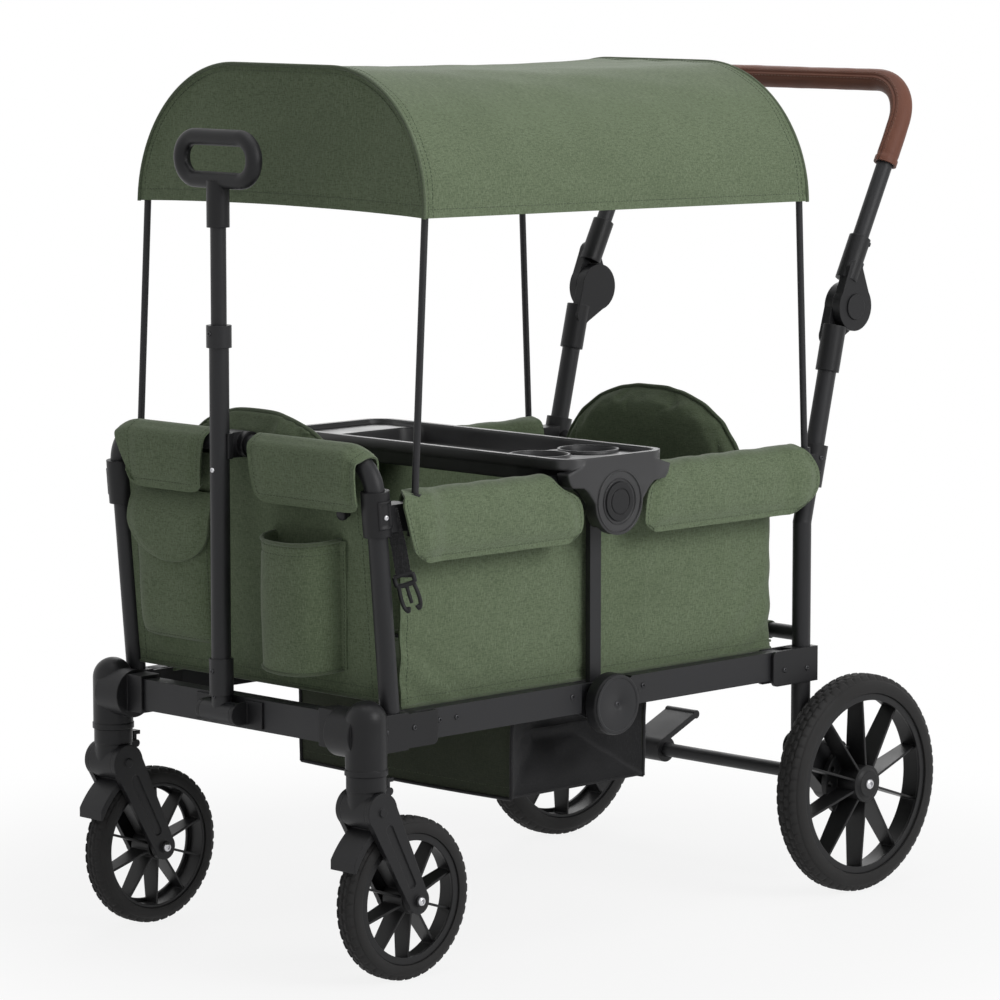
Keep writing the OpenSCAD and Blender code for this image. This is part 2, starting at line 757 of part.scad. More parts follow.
// Half of a lower rail pair, drawn forward from the mid hinge at y = 0, z = 0 to its end pivot
// lap_low is the x of the half-lap's lower face
module lower_rail(lap_low) {
    lap_r = 26;
    lap_from = 46;
    rivet_d = 7;
    rivet_t = 0.3;
    rivet_in = 16;
    end_r = rail_h / 2;
    color(frame_black) difference() {
        union() {
            x_plate(-half_rail, half_rail) {
                translate([-rail_pitch, hinge_drop]) circle(r = end_r);
                translate([-rail_pitch, hinge_drop - end_r]) square([rail_pitch - lap_from, rail_h]);
            }
            x_plate(lap_low, lap_low + lap_t) {
                link2d([-lap_from - 6, hinge_drop], end_r - 1, [0, 0], lap_r);
            }
            both_sides() x_rod(0, half_rail + rivet_t, -lap_from - rivet_in, hinge_drop, rivet_d);
        }
        x_rod(-rail_w, rail_w, -rail_pitch, hinge_drop, pin_d + 2 * run_clear);
        x_rod(-rail_w, rail_w, 0, 0, pin_d + 2 * run_clear);
    }
}

// Half of an upper rail pair: round tube over flat end fittings, drawn like the lower one
module upper_rail(lap_low, end_clear, lap_clear) {
    tube_z = hinge_drop + upper_rail_rise;
    tube_from = 34;
    tube_lap = 10;
    end_half = half_rail - 0.5;
    end_r = 7;
    end_z = tube_z - 2;
    color(frame_black) difference() {
        union() {
            translate([0, -rail_pitch + tube_from, tube_z]) rotate([-90, 0, 0])
                cylinder(h = rail_pitch - 2 * tube_from, d = upper_rail_d - 1);
            x_plate(-end_half, end_half)
                link2d([-rail_pitch, hinge_drop], lug_r, [tube_from + tube_lap - rail_pitch, end_z], end_r);
            x_plate(lap_low, lap_low + lap_t)
                link2d([0, 0], lug_r + 4, [-tube_from - tube_lap, end_z], end_r);
        }
        x_rod(-rail_w, rail_w, -rail_pitch, hinge_drop, pin_d + 2 * end_clear);
        x_rod(-rail_w, rail_w, 0, 0, pin_d + 2 * lap_clear);
    }
}

// Places a forward-drawn rail on the left and right, toward the front (1) or the rear (-1)
module place_rails(z, toward) {
    both_sides() translate([fw, mid_y, z]) {
        if (toward > 0) children();
        else mirror([0, 1, 0]) children();
    }
}

module front_lower_rails() {
    place_rails(mid_z, 1) lower_rail(-half_rail);
}

module rear_lower_rails() {
    place_rails(mid_z, -1) lower_rail(gap / 2);
}

module front_upper_rails() {
    place_rails(mid_upper_z, 1) upper_rail(-half_rail, open_clear, run_clear);
}

module rear_upper_rails() {
    place_rails(mid_upper_z, -1) upper_rail(gap / 2, run_clear, open_clear);
}

mid_plate_t = 8;
mid_plate_x = fw - cheek_gap - mid_plate_t;

// Flat mid posts inside the rails, with a round eye at each hinge
module mid_posts() {
    eye_r = 19;
    color(frame_black) both_sides() difference() {
        union() {
            for (z = [mid_z, mid_upper_z])
                x_rod(mid_plate_x, mid_plate_x + mid_plate_t, mid_y, z, 2 * eye_r);
            translate([mid_plate_x, mid_y - mid_post_w / 2, mid_z])
                cube([mid_plate_t, mid_post_w, mid_upper_z - mid_z]);
        }
        for (z = [mid_z, mid_upper_z]) x_rod(mid_plate_x - 1, fw, mid_y, z, pin_d + 2 * fit_clear);
    }
}

// Turned hinge cover with a stepped edge and a screw seat, on its pin
module hinge_cover(z, d, t) {
    step = 2.5;
    screw_d = 9;
    both_sides() {
        translate([fw + cheek_gap, mid_y, z]) rotate([0, 90, 0]) rotate_extrude() difference() {
            union() {
                square([d / 2 - step, t]);
                square([d / 2, t - 2 * step]);
                translate([d / 2 - 2 * step, t - 2 * step]) circle(r = 2 * step);
            }
            translate([-d, -d]) square([d, 3 * d]);
            translate([-1, -2 * d]) square([2 * d, 2 * d]);
            translate([0, t - 1.5]) square([screw_d / 2, 2]);
        }
        x_rod(mid_plate_x, fw + cheek_gap + eps, mid_y, z, pin_d);
    }
}

lower_cover_t = 19;
upper_cover_t = 9;

module lower_hinges() {
    color(moulded_black) hinge_cover(mid_z, hinge_cover_d, lower_cover_t);
}

module upper_hinges() {
    color(moulded_black) hinge_cover(mid_upper_z, ear_hub_d, upper_cover_t);
}

// Rear end

// Carries its children along the rear posts' upper stretch, with z measured up from the bend
module lean_rear() {
    translate([0, rear_post_y, bend_z]) rotate([-rear_lean, 0, 0]) children();
}
lean_len = (handle_z - bend_z) / cos(rear_lean);
handle_y = rear_post_y + hub_behind;
bracket_low = rail_z - rail_h / 2 - 8;
bracket_high = rail_z + rail_h / 2 + 1;
rear_seat_z = bracket_low + 6;
lower_cross_z = bracket_high + 16;
post_top = lean_len - hub_disc_d / 2 - 12;
cross_d = 20;
upper_cross_y = rear_post_y + (upper_z - bend_z) * tan(rear_lean);

// Bent rear posts with the two cross tubes that tie them together
module rear_posts() {
    color(frame_black) {
        both_sides() {
            translate([fw, rear_post_y, rear_seat_z]) cylinder(h = bend_z - rear_seat_z, d = post_d);
            translate([fw, rear_post_y, bend_z]) sphere(d = post_d + gap);
            lean_rear() translate([fw, 0, 0]) cylinder(h = post_top, d = post_d);
        }
        x_rod(-fw, fw, upper_cross_y, upper_z, cross_d);
        x_rod(-fw, fw, rear_post_y, lower_cross_z, cross_d);
    }
}

// Lower rear brackets: clevis for the rail, seat for the post
module rear_brackets() {
    slot_y = rear_pivot_y + rail_h / 2 + 2;
    back_y = rear_post_y + post_d / 2 + 4;
    front_y = rear_pivot_y - rail_h / 2 - 3;
    round_r = 8;
    color(moulded_black) both_sides() difference() {
        union() {
            clevis_block(slot_y, back_y, bracket_low, bracket_high);
            cheeks() {
                translate([front_y + round_r, bracket_low])
                    square([slot_y - front_y - round_r + 1, bracket_high - bracket_low]);
                translate([front_y, bracket_low + round_r])
                    square([round_r + 1, bracket_high - bracket_low - 2 * round_r]);
                for (z = [bracket_low + round_r, bracket_high - round_r])
                    translate([front_y + round_r, z]) circle(r = round_r);
            }
            clevis_pin(rear_pivot_y, rail_z);
        }
        translate([fw, rear_post_y, rear_seat_z - eps])
            cylinder(h = rail_h * 2, d = post_d + 2 * fit_clear);
    }
}

// Collars high on the rear posts: clevis for the upper rail and socket for the canopy pole
module rear_collars() {
    slot_y = rear_pivot_y + lug_r + 2;
    color(moulded_black) both_sides() difference() {
        union() {
            lean_rear() translate([fw, 0, (upper_z - bend_z) / cos(rear_lean) - collar_len / 2])
                cylinder(h = collar_len, d = collar_d);
            clevis_block(slot_y, upper_cross_y, upper_z - arm_h / 2, upper_z + arm_h / 2);
            cheeks()
                link2d([slot_y + 6, upper_z], arm_h / 2, [rear_pivot_y, upper_z], lug_r + 2);
            clevis_pin(rear_pivot_y, upper_z);
            pole_socket(rear_pole_y, rear_pole_lean);
        }
        lean_rear() translate([fw, 0, -lean_len]) cylinder(h = 3 * lean_len, d = post_d + 2 * fit_clear);
        x_rod(0, fw, upper_cross_y, upper_z, cross_d + 2 * fit_clear);
        pole_bore(rear_pole_y, rear_pole_lean);
        difference() {
            x_plate(fw - cheek_gap, fw + cheek_gap)
                translate([slot_y - 3 * arm_h, upper_z - arm_h]) square([3 * arm_h, 2 * arm_h]);
            clevis_pin(rear_pivot_y, upper_z);
        }
    }
}

brake_pin_d = 6;
brake_pin_z = axle_z + brake_ring_r;

// Moulded legs below the brackets, reaching back to the axle, with the bores of the brake pins
module rear_feet() {
    leg_rise = 46;
    leg_low = axle_z + leg_rise;
    knee_r = 19;
    eye_r = 30;
    pin_eye_r = 13;
    in_x = fw - 2 * foot_in;
    out_x = fw + 2 * foot_out;
    color(moulded_black) both_sides() difference() {
        union() {
            translate([fw, rear_post_y, leg_low]) cylinder(h = bracket_low - leg_low - eps, d = post_d + 1);
            x_plate(fw - foot_in, fw + foot_out) {
                link2d([rear_post_y, leg_low + 6], knee_r, [axle_y, axle_z], eye_r);
                link2d([axle_y, axle_z], eye_r, [axle_y, brake_pin_z], pin_eye_r);
            }
        }
        x_rod(in_x, out_x, axle_y, axle_z, rear_spindle_d + 2 * fit_clear);
        x_rod(in_x, out_x, axle_y, brake_pin_z, brake_pin_d + 2 * run_clear);
    }
}

// Rear axle: cross tube between the feet and the spindles that the wheels run on
module rear_axle() {
    spindle_end = rear_x + rear_hub_half - 1;
    spacer_d = rear_spindle_d + 8;
    color(frame_black) {
        x_rod(-fw + foot_in + eps, fw - foot_in - eps, axle_y, axle_z, axle_tube_d);
        both_sides() {
            x_rod(fw - foot_in - 1, spindle_end, axle_y, axle_z, rear_spindle_d);
            x_rod(fw + foot_out + gap, rear_x - rear_hub_half - gap, axle_y, axle_z, spacer_d);
        }
    }
}

pedal_x = -100;
pedal_w = 56;

// Brake pedal: a saddle round the axle tube with a foot plate behind
module brake_pedal() {
    hub_r = axle_tube_d / 2 + 8;
    plate_len = 74;
    plate_t = 8;
    plate_rise = 24;
    toe_r = 6;
    color(moulded_black) difference() {
        x_plate(pedal_x - pedal_w / 2, pedal_x + pedal_w / 2) {
            translate([axle_y, axle_z]) circle(r = hub_r);
            translate([axle_y, axle_z]) rotate(plate_rise) {
                translate([0, hub_r - plate_t]) square([plate_len, plate_t]);
                translate([plate_len, hub_r - plate_t / 2]) circle(r = toe_r);
            }
        }
        x_rod(pedal_x - pedal_w, pedal_x + pedal_w, axle_y, axle_z, axle_tube_d + 2 * run_clear);
    }
}

// Spring-loaded brake pins in the feet, drawn back from the slotted rings
module brake_pin(side) {
    head_d = 11;
    head_t = 4;
    head_x = fw - foot_in - 12;
    color(steel) on_side(side) {
        x_rod(head_x + head_t - 1, rear_x - rear_hub_half - 1, axle_y, brake_pin_z, brake_pin_d);
        x_rod(head_x, head_x + head_t, axle_y, brake_pin_z, head_d);
    }
}

// Push handle

hub_t = 13.5;
hub_split = fw - 0.5;
relief_d = hub_disc_d + 2 * gap + 2;
sleeve_d = post_d + 7;
sleeve_start = 30;
sleeve_len = 62;
sleeve_knee = sleeve_start + 14;
tube_start = sleeve_start + 10;

// Carries its children to the handle's pivot line
module at_handle_pivot() {
    translate([0, handle_y, handle_z]) children();
}

// Lower hub halves: sleeves on the posts with the inner discs
module handle_hub_bases() {
    bore_top = hub_disc_d / 2 + 10;
    color(moulded_black) both_sides() at_handle_pivot() difference() {
        union() {
            rotate([-rear_lean, 0, 0]) x_plate(hub_split - hub_t, hub_split - gap / 2)
                link2d([0, 0], hub_disc_d / 2, [-hub_offset, -sleeve_knee], sleeve_d / 2 - 3);
            difference() {
                rotate([-rear_lean, 0, 0]) translate([fw, -hub_offset, -sleeve_start - sleeve_len])
                    cylinder(h = sleeve_len, d = sleeve_d);
                x_rod(hub_split - gap / 2 - 1, fw + sleeve_d, 0, 0, relief_d);
            }
        }
        rotate([-rear_lean, 0, 0]) translate([fw, -hub_offset, -bore_top - sleeve_len])
            cylinder(h = sleeve_len, d = post_d + 2 * fit_clear);
    }
}

push_button_d = 34;
push_button_t = 9;
push_travel = 4;

// Upper hub halves: outer discs with the sleeves of the handle tube and the buttons' wells
module push_handle_hubs() {
    color(moulded_black) both_sides() at_handle_pivot() difference() {
        union() {
            rotate([-handle_tilt, 0, 0]) {
                translate([fw, -hub_offset, sleeve_start]) cylinder(h = sleeve_len, d = sleeve_d - 2);
                x_plate(hub_split + gap / 2, hub_split + hub_t)
                    link2d([0, 0], hub_disc_d / 2, [-hub_offset, sleeve_knee], sleeve_d / 2 - 2);
            }
        }
        rotate([-handle_tilt, 0, 0]) translate([fw, -hub_offset, tube_start])
            cylinder(h = sleeve_len, d = handle_d + 2 * fit_clear);
        x_rod(fw - sleeve_d, hub_split + gap / 2, 0, 0, relief_d);
        x_rod(hub_split + hub_t - push_button_t, fw + 2 * hub_t, 0, 0, push_button_d + 2 * run_clear);
    }
}

module push_button(side) {
    proud = 2;
    face_x = hub_split + hub_t;
    color(frame_black) on_side(side) at_handle_pivot()
        x_rod(face_x - push_button_t + push_travel + gap, face_x + proud, 0, 0, push_button_d);
}

module lean_handle() {
    at_handle_pivot() rotate([-handle_tilt, 0, 0]) translate([0, -hub_offset, 0]) children();
}

module push_handle_tube() {
    rise = handle_len - tube_start;
    color(frame_black) lean_handle() translate([0, 0, tube_start + eps]) difference() {
        u_bar(2 * fw, rise, handle_r, handle_d);
        translate([0, 0, -eps]) u_bar(2 * fw, rise + eps, handle_r, handle_d - 2 * tube_wall);
    }
}

// Leather sleeve round the bar, the bends and the upper part of the arms
module push_handle_grip() {
    grip_h = handle_r + grip_leg;
    color(leather_brown) lean_handle() translate([0, 0, handle_len - grip_h]) difference() {
        u_bar(2 * fw, grip_h, handle_r, grip_d);
        translate([0, 0, -eps]) u_bar(2 * fw, grip_h + eps, handle_r, handle_d + 2 * fit_clear);
    }
}

// Tray

tray_half = tray_len / 2;
tray_rim = 14;
tray_end_x = fw + 32;
ear_x = fw + cheek_gap + 1.1;
slot_x = ear_x + 9;
ear_wall = 2.8;
cup_inset = 100;
cup_x = tray_end_x - cup_inset;
cup_y = 45;
tray_floor_t = 3;
deck_drop = 7;

// Snack tray: lipped plate, sunken basin, two cup holders at one end and the hanging ears over the mid hinges
module tray() {
    corner = 34;
    wall = 9;
    cup_wall = 2.5;
    ring_wall = 3;
    ring_rise = 4;
    cup_floor_z = tray_z - cup_depth;
    deck_z = tray_z - deck_drop;
    deck_x = cup_x - cup_d / 2 - 9;
    block_half = tub_w / 2 - 3;
    basin_w = block_half - wall + deck_x;
    basin_l = tray_len - 2 * wall;
    floor_z = tray_z - tray_depth + tray_floor_t;
    slab_low = tray_z - 36;
    step_in = 0.68;
    neck = ear_d / 2;
    color(moulded_black) translate([0, mid_y, 0]) difference() {
        union() {
            difference() {
                union() {
                    translate([0, 0, tray_z - tray_rim]) linear_extrude(tray_rim)
                        round_rect(2 * tray_end_x, tray_len, corner);
                    translate([0, 0, tray_z - tray_depth]) linear_extrude(tray_depth - tray_rim + 1)
                        round_rect(2 * block_half, tray_len - 2, corner - 1);
                }
                translate([deck_x - basin_w / 2, 0, floor_z]) linear_extrude(tray_depth)
                    round_rect(basin_w, basin_l, corner - wall);
                translate([0, 0, deck_z]) linear_extrude(tray_depth)
                    round_rect(2 * (tray_end_x - wall), basin_l, corner - wall);
            }
            for (sy = [-1, 1]) translate([cup_x, sy * cup_y, 0]) {
                translate([0, 0, cup_floor_z - tray_floor_t])
                    cylinder(h = cup_depth - deck_drop, d = cup_d + 2 * cup_wall);
                translate([0, 0, deck_z - 1]) cylinder(h = ring_rise + 1, d = cup_d + 2 * ring_wall);
            }
            both_sides() x_plate(ear_x, tray_end_x) {
                translate([0, mid_upper_z]) circle(d = ear_d);
                polygon([
                    [-tray_half + corner, deck_z - 1],
                    [-tray_half + 1, slab_low + 18],
                    [-tray_half + 5, slab_low + 6],
                    [-tray_half + 10, slab_low],
                    [-tray_half * step_in, slab_low - 2],
                    [-neck - 14, slab_low - 7],
                    [-neck, mid_upper_z],
                    [neck, mid_upper_z],
                    [neck + 14, slab_low - 7],
                    [tray_half * step_in, slab_low - 2],
                    [tray_half - 10, slab_low],
                    [tray_half - 5, slab_low + 6],
                    [tray_half - 1, slab_low + 18],
                    [tray_half - corner, deck_z - 1]
                ]);
            }
        }
        for (sy = [-1, 1]) translate([cup_x, sy * cup_y, cup_floor_z])
            cylinder(h = cup_depth + 1, d = cup_d);
        both_sides() {
            x_plate(ear_x - 1, slot_x) {
                translate([0, mid_upper_z]) circle(d = ear_hub_d + 2 * gap);
                translate([-ear_hub_d / 2 - gap, mid_upper_z - ear_d]) square([ear_hub_d + 2 * gap, ear_d]);
            }
            x_rod(slot_x + ear_wall, tray_end_x + 1, 0, mid_upper_z, tray_button_d + 2 * run_clear);
        }
    }
}

// Release button in the ear, with a shallow ring on its face
module tray_button(side) {
    travel = 4;
    proud = 1.5;
    ring_d = tray_button_d * 0.7;
    color(frame_black) on_side(side) translate([0, mid_y, mid_upper_z]) difference() {
        x_rod(slot_x + ear_wall + travel + gap, tray_end_x + proud, 0, 0, tray_button_d);
        difference() {
            x_rod(tray_end_x + proud - 1, tray_end_x + 2 * proud, 0, 0, ring_d);
            x_rod(tray_end_x - proud, tray_end_x + 3 * proud, 0, 0, ring_d - 4);
        }
    }
}

// Canopy

bow_r = canopy_r - canopy_t - gap - pole_d / 2;
bow_foot = socket_floor + gap;
canopy_top_y = front_pole_y - (canopy_z - pole_foot_z) * tan(front_pole_lean);
rear_top_y = rear_pole_y - (canopy_z - pole_foot_z) * tan(rear_pole_lean);
rear_bow_drop = (rear_top_y - canopy_top_y) * tan(canopy_slope);

// Canopy bow standing in its two sockets; head is the room left under the cover
module canopy_bow(y, lean, head) {
    rise = (canopy_z - canopy_t - head - pole_d / 2 - pole_foot_z) / cos(lean) - bow_foot;
    color(frame_black) translate([0, y, pole_foot_z]) rotate([lean, 0, 0]) translate([0, 0, bow_foot])
        u_bar(2 * pole_x, rise, bow_r, pole_d);
}

module canopy_bow_front() {
    canopy_bow(front_pole_y, front_pole_lean, gap);
}

module canopy_bow_rear() {
    canopy_bow(rear_pole_y, rear_pole_lean, rear_bow_drop + fit_clear);
}

canopy_half = pole_x + pole_d / 2 + gap + canopy_t;

// Barrel form of the canopy, drawn in by an inset and cut off at a low edge
module canopy_form(inset, low) {
    half = canopy_half - inset;
    top = canopy_z - inset;
    r = canopy_r - inset;
    room = pole_d / 2 + gap + canopy_t - inset;
    over = 4 * canopy_t;
    function front_y(z) = front_pole_y - (z - pole_foot_z) * tan(front_pole_lean) - room;
    function rear_y(z) = rear_pole_y - (z - pole_foot_z) * tan(rear_pole_lean) + room;
    low_rear = low - (rear_y(low) - canopy_top_y) * tan(canopy_slope);
    intersection() {
        translate([0, canopy_top_y, canopy_z]) rotate([90 - canopy_slope, 0, 0])
            translate([0, -canopy_z, -3 * fw]) linear_extrude(4 * fw) {
                translate([-half, low - over]) square([2 * half, top - r - low + over]);
                translate([-half + r, low - over]) square([2 * (half - r), top - low + over]);
                for (s = [-1, 1]) translate([s * (half - r), top - r]) circle(r = r, $fn = 96);
            }
        x_plate(-2 * fw, 2 * fw) polygon([
            [front_y(low), low],
            [rear_y(low_rear), low_rear],
            [rear_y(canopy_z + over), canopy_z + over],
            [front_y(canopy_z + over), canopy_z + over]
        ]);
    }
}

module canopy_cover() {
    color(sage) difference() {
        canopy_form(0, hem_z);
        canopy_form(canopy_t, hem_z - canopy_t);
    }
}

// Fabric

tub_w = 2 * (mid_plate_x - tub_room);
tub_front_y = front_pivot_y - 15;
tub_back_y = rear_pivot_y + 26;
tub_floor_z = tub_z + cloth_t;

// Tub: side walls, rear wall, floor round the footwell and the loops on the rear cross tube
module tub() {
    corner = 20;
    loop_x = 115;
    loop_w = 70;
    tub_l = tub_back_y - tub_front_y;
    base = [0, (tub_back_y + tub_front_y) / 2, tub_z];
    color(sage) difference() {
        union() {
            translate(base) linear_extrude(tub_h) difference() {
                round_rect(tub_w, tub_l, corner);
                round_rect(tub_w - 2 * cloth_t, tub_l - 2 * cloth_t, corner - cloth_t);
            }
            translate(base) linear_extrude(cloth_t) round_rect(tub_w - 1, tub_l - 1, corner);
            both_sides() {
                x_rod(loop_x, loop_x + loop_w, rear_post_y, lower_cross_z, cross_d + 2 * cloth_t);
                translate([loop_x, tub_back_y - 1, lower_cross_z - cloth_t / 2])
                    cube([loop_w, rear_post_y - tub_back_y, cloth_t]);
            }
        }
        x_rod(-fw, fw, rear_post_y, lower_cross_z, cross_d + 2 * fit_clear);
        translate([0, mid_y, tub_z])
            cube([well_w - 2 * cloth_t, well_len - 2 * cloth_t, 4 * cloth_t], center = true);
        translate([0, tub_front_y, tub_z]) cube([2 * fw, 2 * corner, 3 * tub_h], center = true);
    }
}

// Footwell below the floor: flat front and rear walls, floor and gusseted sides that fold inward
module footwell() {
    fold_in = 46;
    top = tub_z - fit_clear;
    half = well_w / 2;
    half_l = well_len / 2;
    steps = [0, 0.25, 0.5, 0.75, 1];
    function tuck(u, v) = fold_in * min(1, 2 * min(u, 1 - u), 2 * min(v, 1 - v));
    tuck_in = cloth_t / 4;
    function gusset(x) = [for (v = steps) [for (u = steps) [
        x - tuck(u, v),
        mid_y + (2 * u - 1) * (half_l - tuck_in),
        well_z + tuck_in + v * (top - well_z - tuck_in)
    ]]];
    color(deep_sage) {
        for (s = [-1, 1]) translate([0, mid_y + s * (half_l - cloth_t / 2), (top + well_z) / 2])
            cube([well_w, cloth_t, top - well_z], center = true);
        translate([-half, mid_y - half_l, well_z]) cube([well_w, well_len, cloth_t]);
        both_sides() skin_solid(gusset(half - cloth_t), gusset(half - tuck_in));
    }
}

hoop_top = post_len + hoop_h;
panel_half = fw - post_d / 2 - fit_clear;
panel_t = cloth_t;

// Front panel hung between the leaning posts and under the hoop, cut out round the collars and the clip
module front_panel() {
    low = 12;
    high = hoop_top - post_d / 2 - fit_clear;
    bend_r = hoop_r - post_d / 2 - fit_clear;
    color(sage) lean_front() difference() {
        translate([0, panel_t / 2, 0]) rotate([90, 0, 0]) linear_extrude(panel_t) {
            translate([-panel_half, low]) square([2 * panel_half, high - bend_r - low]);
            translate([bend_r - panel_half, low]) square([2 * (panel_half - bend_r), high - low]);
            for (s = [-1, 1]) translate([s * (panel_half - bend_r), high - bend_r]) circle(r = bend_r);
        }
        both_sides() translate([fw, 0, post_len - collar_len / 2 - gap])
            cylinder(h = collar_len + 2 * gap, d = collar_d + 2 * fit_clear);
        x_rod(-clip_w - gap, clip_w + gap, 0, hoop_top, post_d + 2 * clip_t + 2 * fit_clear);
    }
}

cup_pocket_x = 128;
cup_pocket_w = 150;
cup_pocket_low = 44;
cup_pocket_high = 214;
cup_pocket_deep = 52;

// Pockets on the front panel: an open cup pocket and a flat one under a half-round flap
module front_pockets() {
    flat_x = -130;
    flat_w = 150;
    flat_low = 78;
    flat_h = 144;
    flat_deep = 20;
    flap_z = 250;
    flap_h = 40;
    flap_r = 74;
    corner = 24;
    face = -panel_t / 2 - fit_clear;
    color(sage) lean_front() {
        translate([cup_pocket_x, face, cup_pocket_low]) difference() {
            linear_extrude(cup_pocket_high - cup_pocket_low) intersection() {
                round_rect(cup_pocket_w, 2 * cup_pocket_deep, corner);
                translate([-cup_pocket_w, -2 * cup_pocket_deep])
                    square([2 * cup_pocket_w, 2 * cup_pocket_deep]);
            }
            translate([0, 0, cloth_t]) linear_extrude(cup_pocket_high) intersection() {
                round_rect(cup_pocket_w - 2 * cloth_t, 2 * cup_pocket_deep - 2 * cloth_t, corner - cloth_t);
                translate([-cup_pocket_w, -2 * cup_pocket_deep - cloth_t])
                    square([2 * cup_pocket_w, 2 * cup_pocket_deep]);
            }
        }
        translate([flat_x, face - flat_deep, flat_low]) rotate([-90, 0, 0]) linear_extrude(flat_deep)
            translate([0, -flat_h / 2]) round_rect(flat_w, flat_h, corner);
        translate([flat_x, face - flat_deep, 0]) rotate([90, 0, 0]) linear_extrude(cloth_t) {
            translate([-flap_r, flap_z - flap_h]) square([2 * flap_r, flap_h]);
            translate([0, flap_z - flap_h]) intersection() {
                scale([1, 0.66]) circle(r = flap_r);
                translate([-flap_r, -2 * flap_r]) square(2 * flap_r);
            }
        }
    }
}

flap_t = 3;

// One flap rolled over the front hoop from an x position to a turn of the bend, drawn in the posts' lean
module hoop_flap(from_x, last_turn) {
    straight = fw - hoop_r;
    turn_step = 12.5;
    turns = [turn_step : turn_step : last_turn];
    skirt = 66;
    back_skirt = 34;
    ridge = post_d / 2 + 1.5 * gap + flap_t;
    face = collar_d / 2 + 0.6;
    stations = concat(
        [for (t = [0 : 3]) [from_x + (straight - from_x) * t / 3, hoop_top, 0]],
        [for (a = turns) [straight + hoop_r * sin(a), hoop_top - hoop_r + hoop_r * cos(a), a]]);
    function section(p, r, f) = [
        [p.x + r * sin(p.z) * 0.4, -f - 1, hoop_top - skirt],
        [p.x + r * sin(p.z) * 0.4, -f - 3, (hoop_top - skirt + p.y) / 2 - 6],
        [p.x + r * sin(p.z) * 0.5, -f - 1, p.y + 2],
        [p.x + r * sin(p.z) * 0.9, -r * 0.8, p.y + r * 0.8 * cos(p.z)],
        [p.x + r * sin(p.z), 0, p.y + r * cos(p.z)],
        [p.x + r * sin(p.z) * 0.9, r * 0.8, p.y + r * 0.8 * cos(p.z)],
        [p.x + r * sin(p.z) * 0.5, f, p.y + 2],
        [p.x + r * sin(p.z) * 0.4, f, p.y - back_skirt * cos(p.z)]
    ];
    skin_solid(
        [for (p = stations) section(p, ridge, face + flap_t)],
        [for (p = stations) section(p, ridge - flap_t, face)]);
}

module front_flaps() {
    left_from = 25;
    left_turn = 25;
    right_from = 52;
    right_turn = 62.5;
    color(sage) lean_front() {
        hoop_flap(left_from, left_turn);
        mirror([1, 0, 0]) hoop_flap(right_from, right_turn);
    }
}

side_flap_low = upper_z + upper_rail_rise - flap_drop;
side_flap_top = mid_upper_z + hinge_drop + upper_rail_rise + (upper_rail_d - 1) / 2 + fit_clear + flap_t;

flap_end = -ear_d / 2 - 15;

// Flap rolled over an upper rail, from its outer end to a slanting edge beside the tray's ear
module side_flap(start, top_end, low_end) {
    puff = 3;
    corner = 12;
    drop = side_flap_top - side_flap_low;
    rows = [0, 0.06, 0.25, 0.5, 0.75, 0.94, 1];
    outline = [[21, drop], [24, drop * 0.74], [25, drop * 0.46], [23, 20], [17, 6], [6, 0],
        [-8, 0], [-17, 6], [-21, 20], [-22.5, drop * 0.46]];
    inline = [[21 - flap_t, drop], [24 - flap_t, drop * 0.74], [25 - flap_t, drop * 0.46], [20.2, 21],
        [15, 8.4], [5.4, flap_t], [-7.2, flap_t], [-15, 8.4], [-18.2, 21], [-22.5 + flap_t, drop * 0.46]];
    function edge(d) = top_end + (low_end - top_end) * d / drop;
    function lift(c, v) = c == 0 ? corner * pow(abs(2 * v - 1), 8) : 0;
    function bulge(c, v) = c < 4 ? puff * sin(180 * v) : 0;
    function grid(line) = [for (v = rows) [for (c = [0 : len(line) - 1]) [
        fw + line[c].x + bulge(c, v),
        mid_y + start + v * (edge(line[c].y) - start),
        side_flap_top - line[c].y + lift(c, v)
    ]]];
    skin_solid(grid(outline), grid(inline));
}

module front_side_flaps() {
    color(sage) both_sides() side_flap(-rail_pitch - 2.5, -tray_half - 5, flap_end);
}

module rear_side_flaps() {
    color(sage) translate([0, 2 * mid_y, 0]) mirror([0, 1, 0]) both_sides()
        side_flap(-rail_pitch - 22.5, -tray_half - 2, flap_end);
}

// Cushion with a crown and drawn-in edges: width along X, length along Y, standing on z = 0
module cushion(w, l, t) {
    crown = 9;
    marks = [-1, -0.95, -0.8, -0.45, 0, 0.45, 0.8, 0.95, 1];
    function soft(a) = 1 - 0.6 * pow(abs(a), 8);
    function top(u, v) = (t - crown) * soft(u) * soft(v) + crown * (1 - u * u) * (1 - v * v);
    translate([0, l / 2, 0]) skin_solid(
        [for (v = marks) [for (u = marks) [u * w / 2 * 0.985, v * l / 2 * 0.985, 0]]],
        [for (v = marks) [for (u = marks) [u * w / 2, v * l / 2, top(u, v)]]]);
}

// Arched back cushion: back face on y = 0, front face toward +Y, standing on z = 0
module back_cushion(w, h, t) {
    crown = 8;
    shoulder = 0.45;
    least = 0.2;
    marks = [-1, -0.94, -0.75, -0.4, 0, 0.4, 0.75, 0.94, 1];
    levels = [0, 0.03, 0.2, 0.45, 0.62, 0.76, 0.87, 0.94, 0.98, 1];
    function drop(v) = pow((v - shoulder) / (1 - shoulder), 2.4);
    function arch(v) = v < shoulder ? 1 : max(least, pow(1 - drop(v), 0.42));
    function soft(a) = 1 - 0.6 * pow(abs(a), 8);
    function swell(u, v) = crown * (1 - u * u) * (1 - pow(2 * v - 1, 2));
    function thick(u, v) = (t - crown) * soft(u) * soft(2 * v - 1) + swell(u, v);
    skin_solid(
        [for (v = levels) [for (u = marks) [u * arch(v) * w / 2, thick(u, v), v * h]]],
        [for (v = levels) [for (u = marks) [u * arch(v) * w / 2, 0, v * h]]]);
}

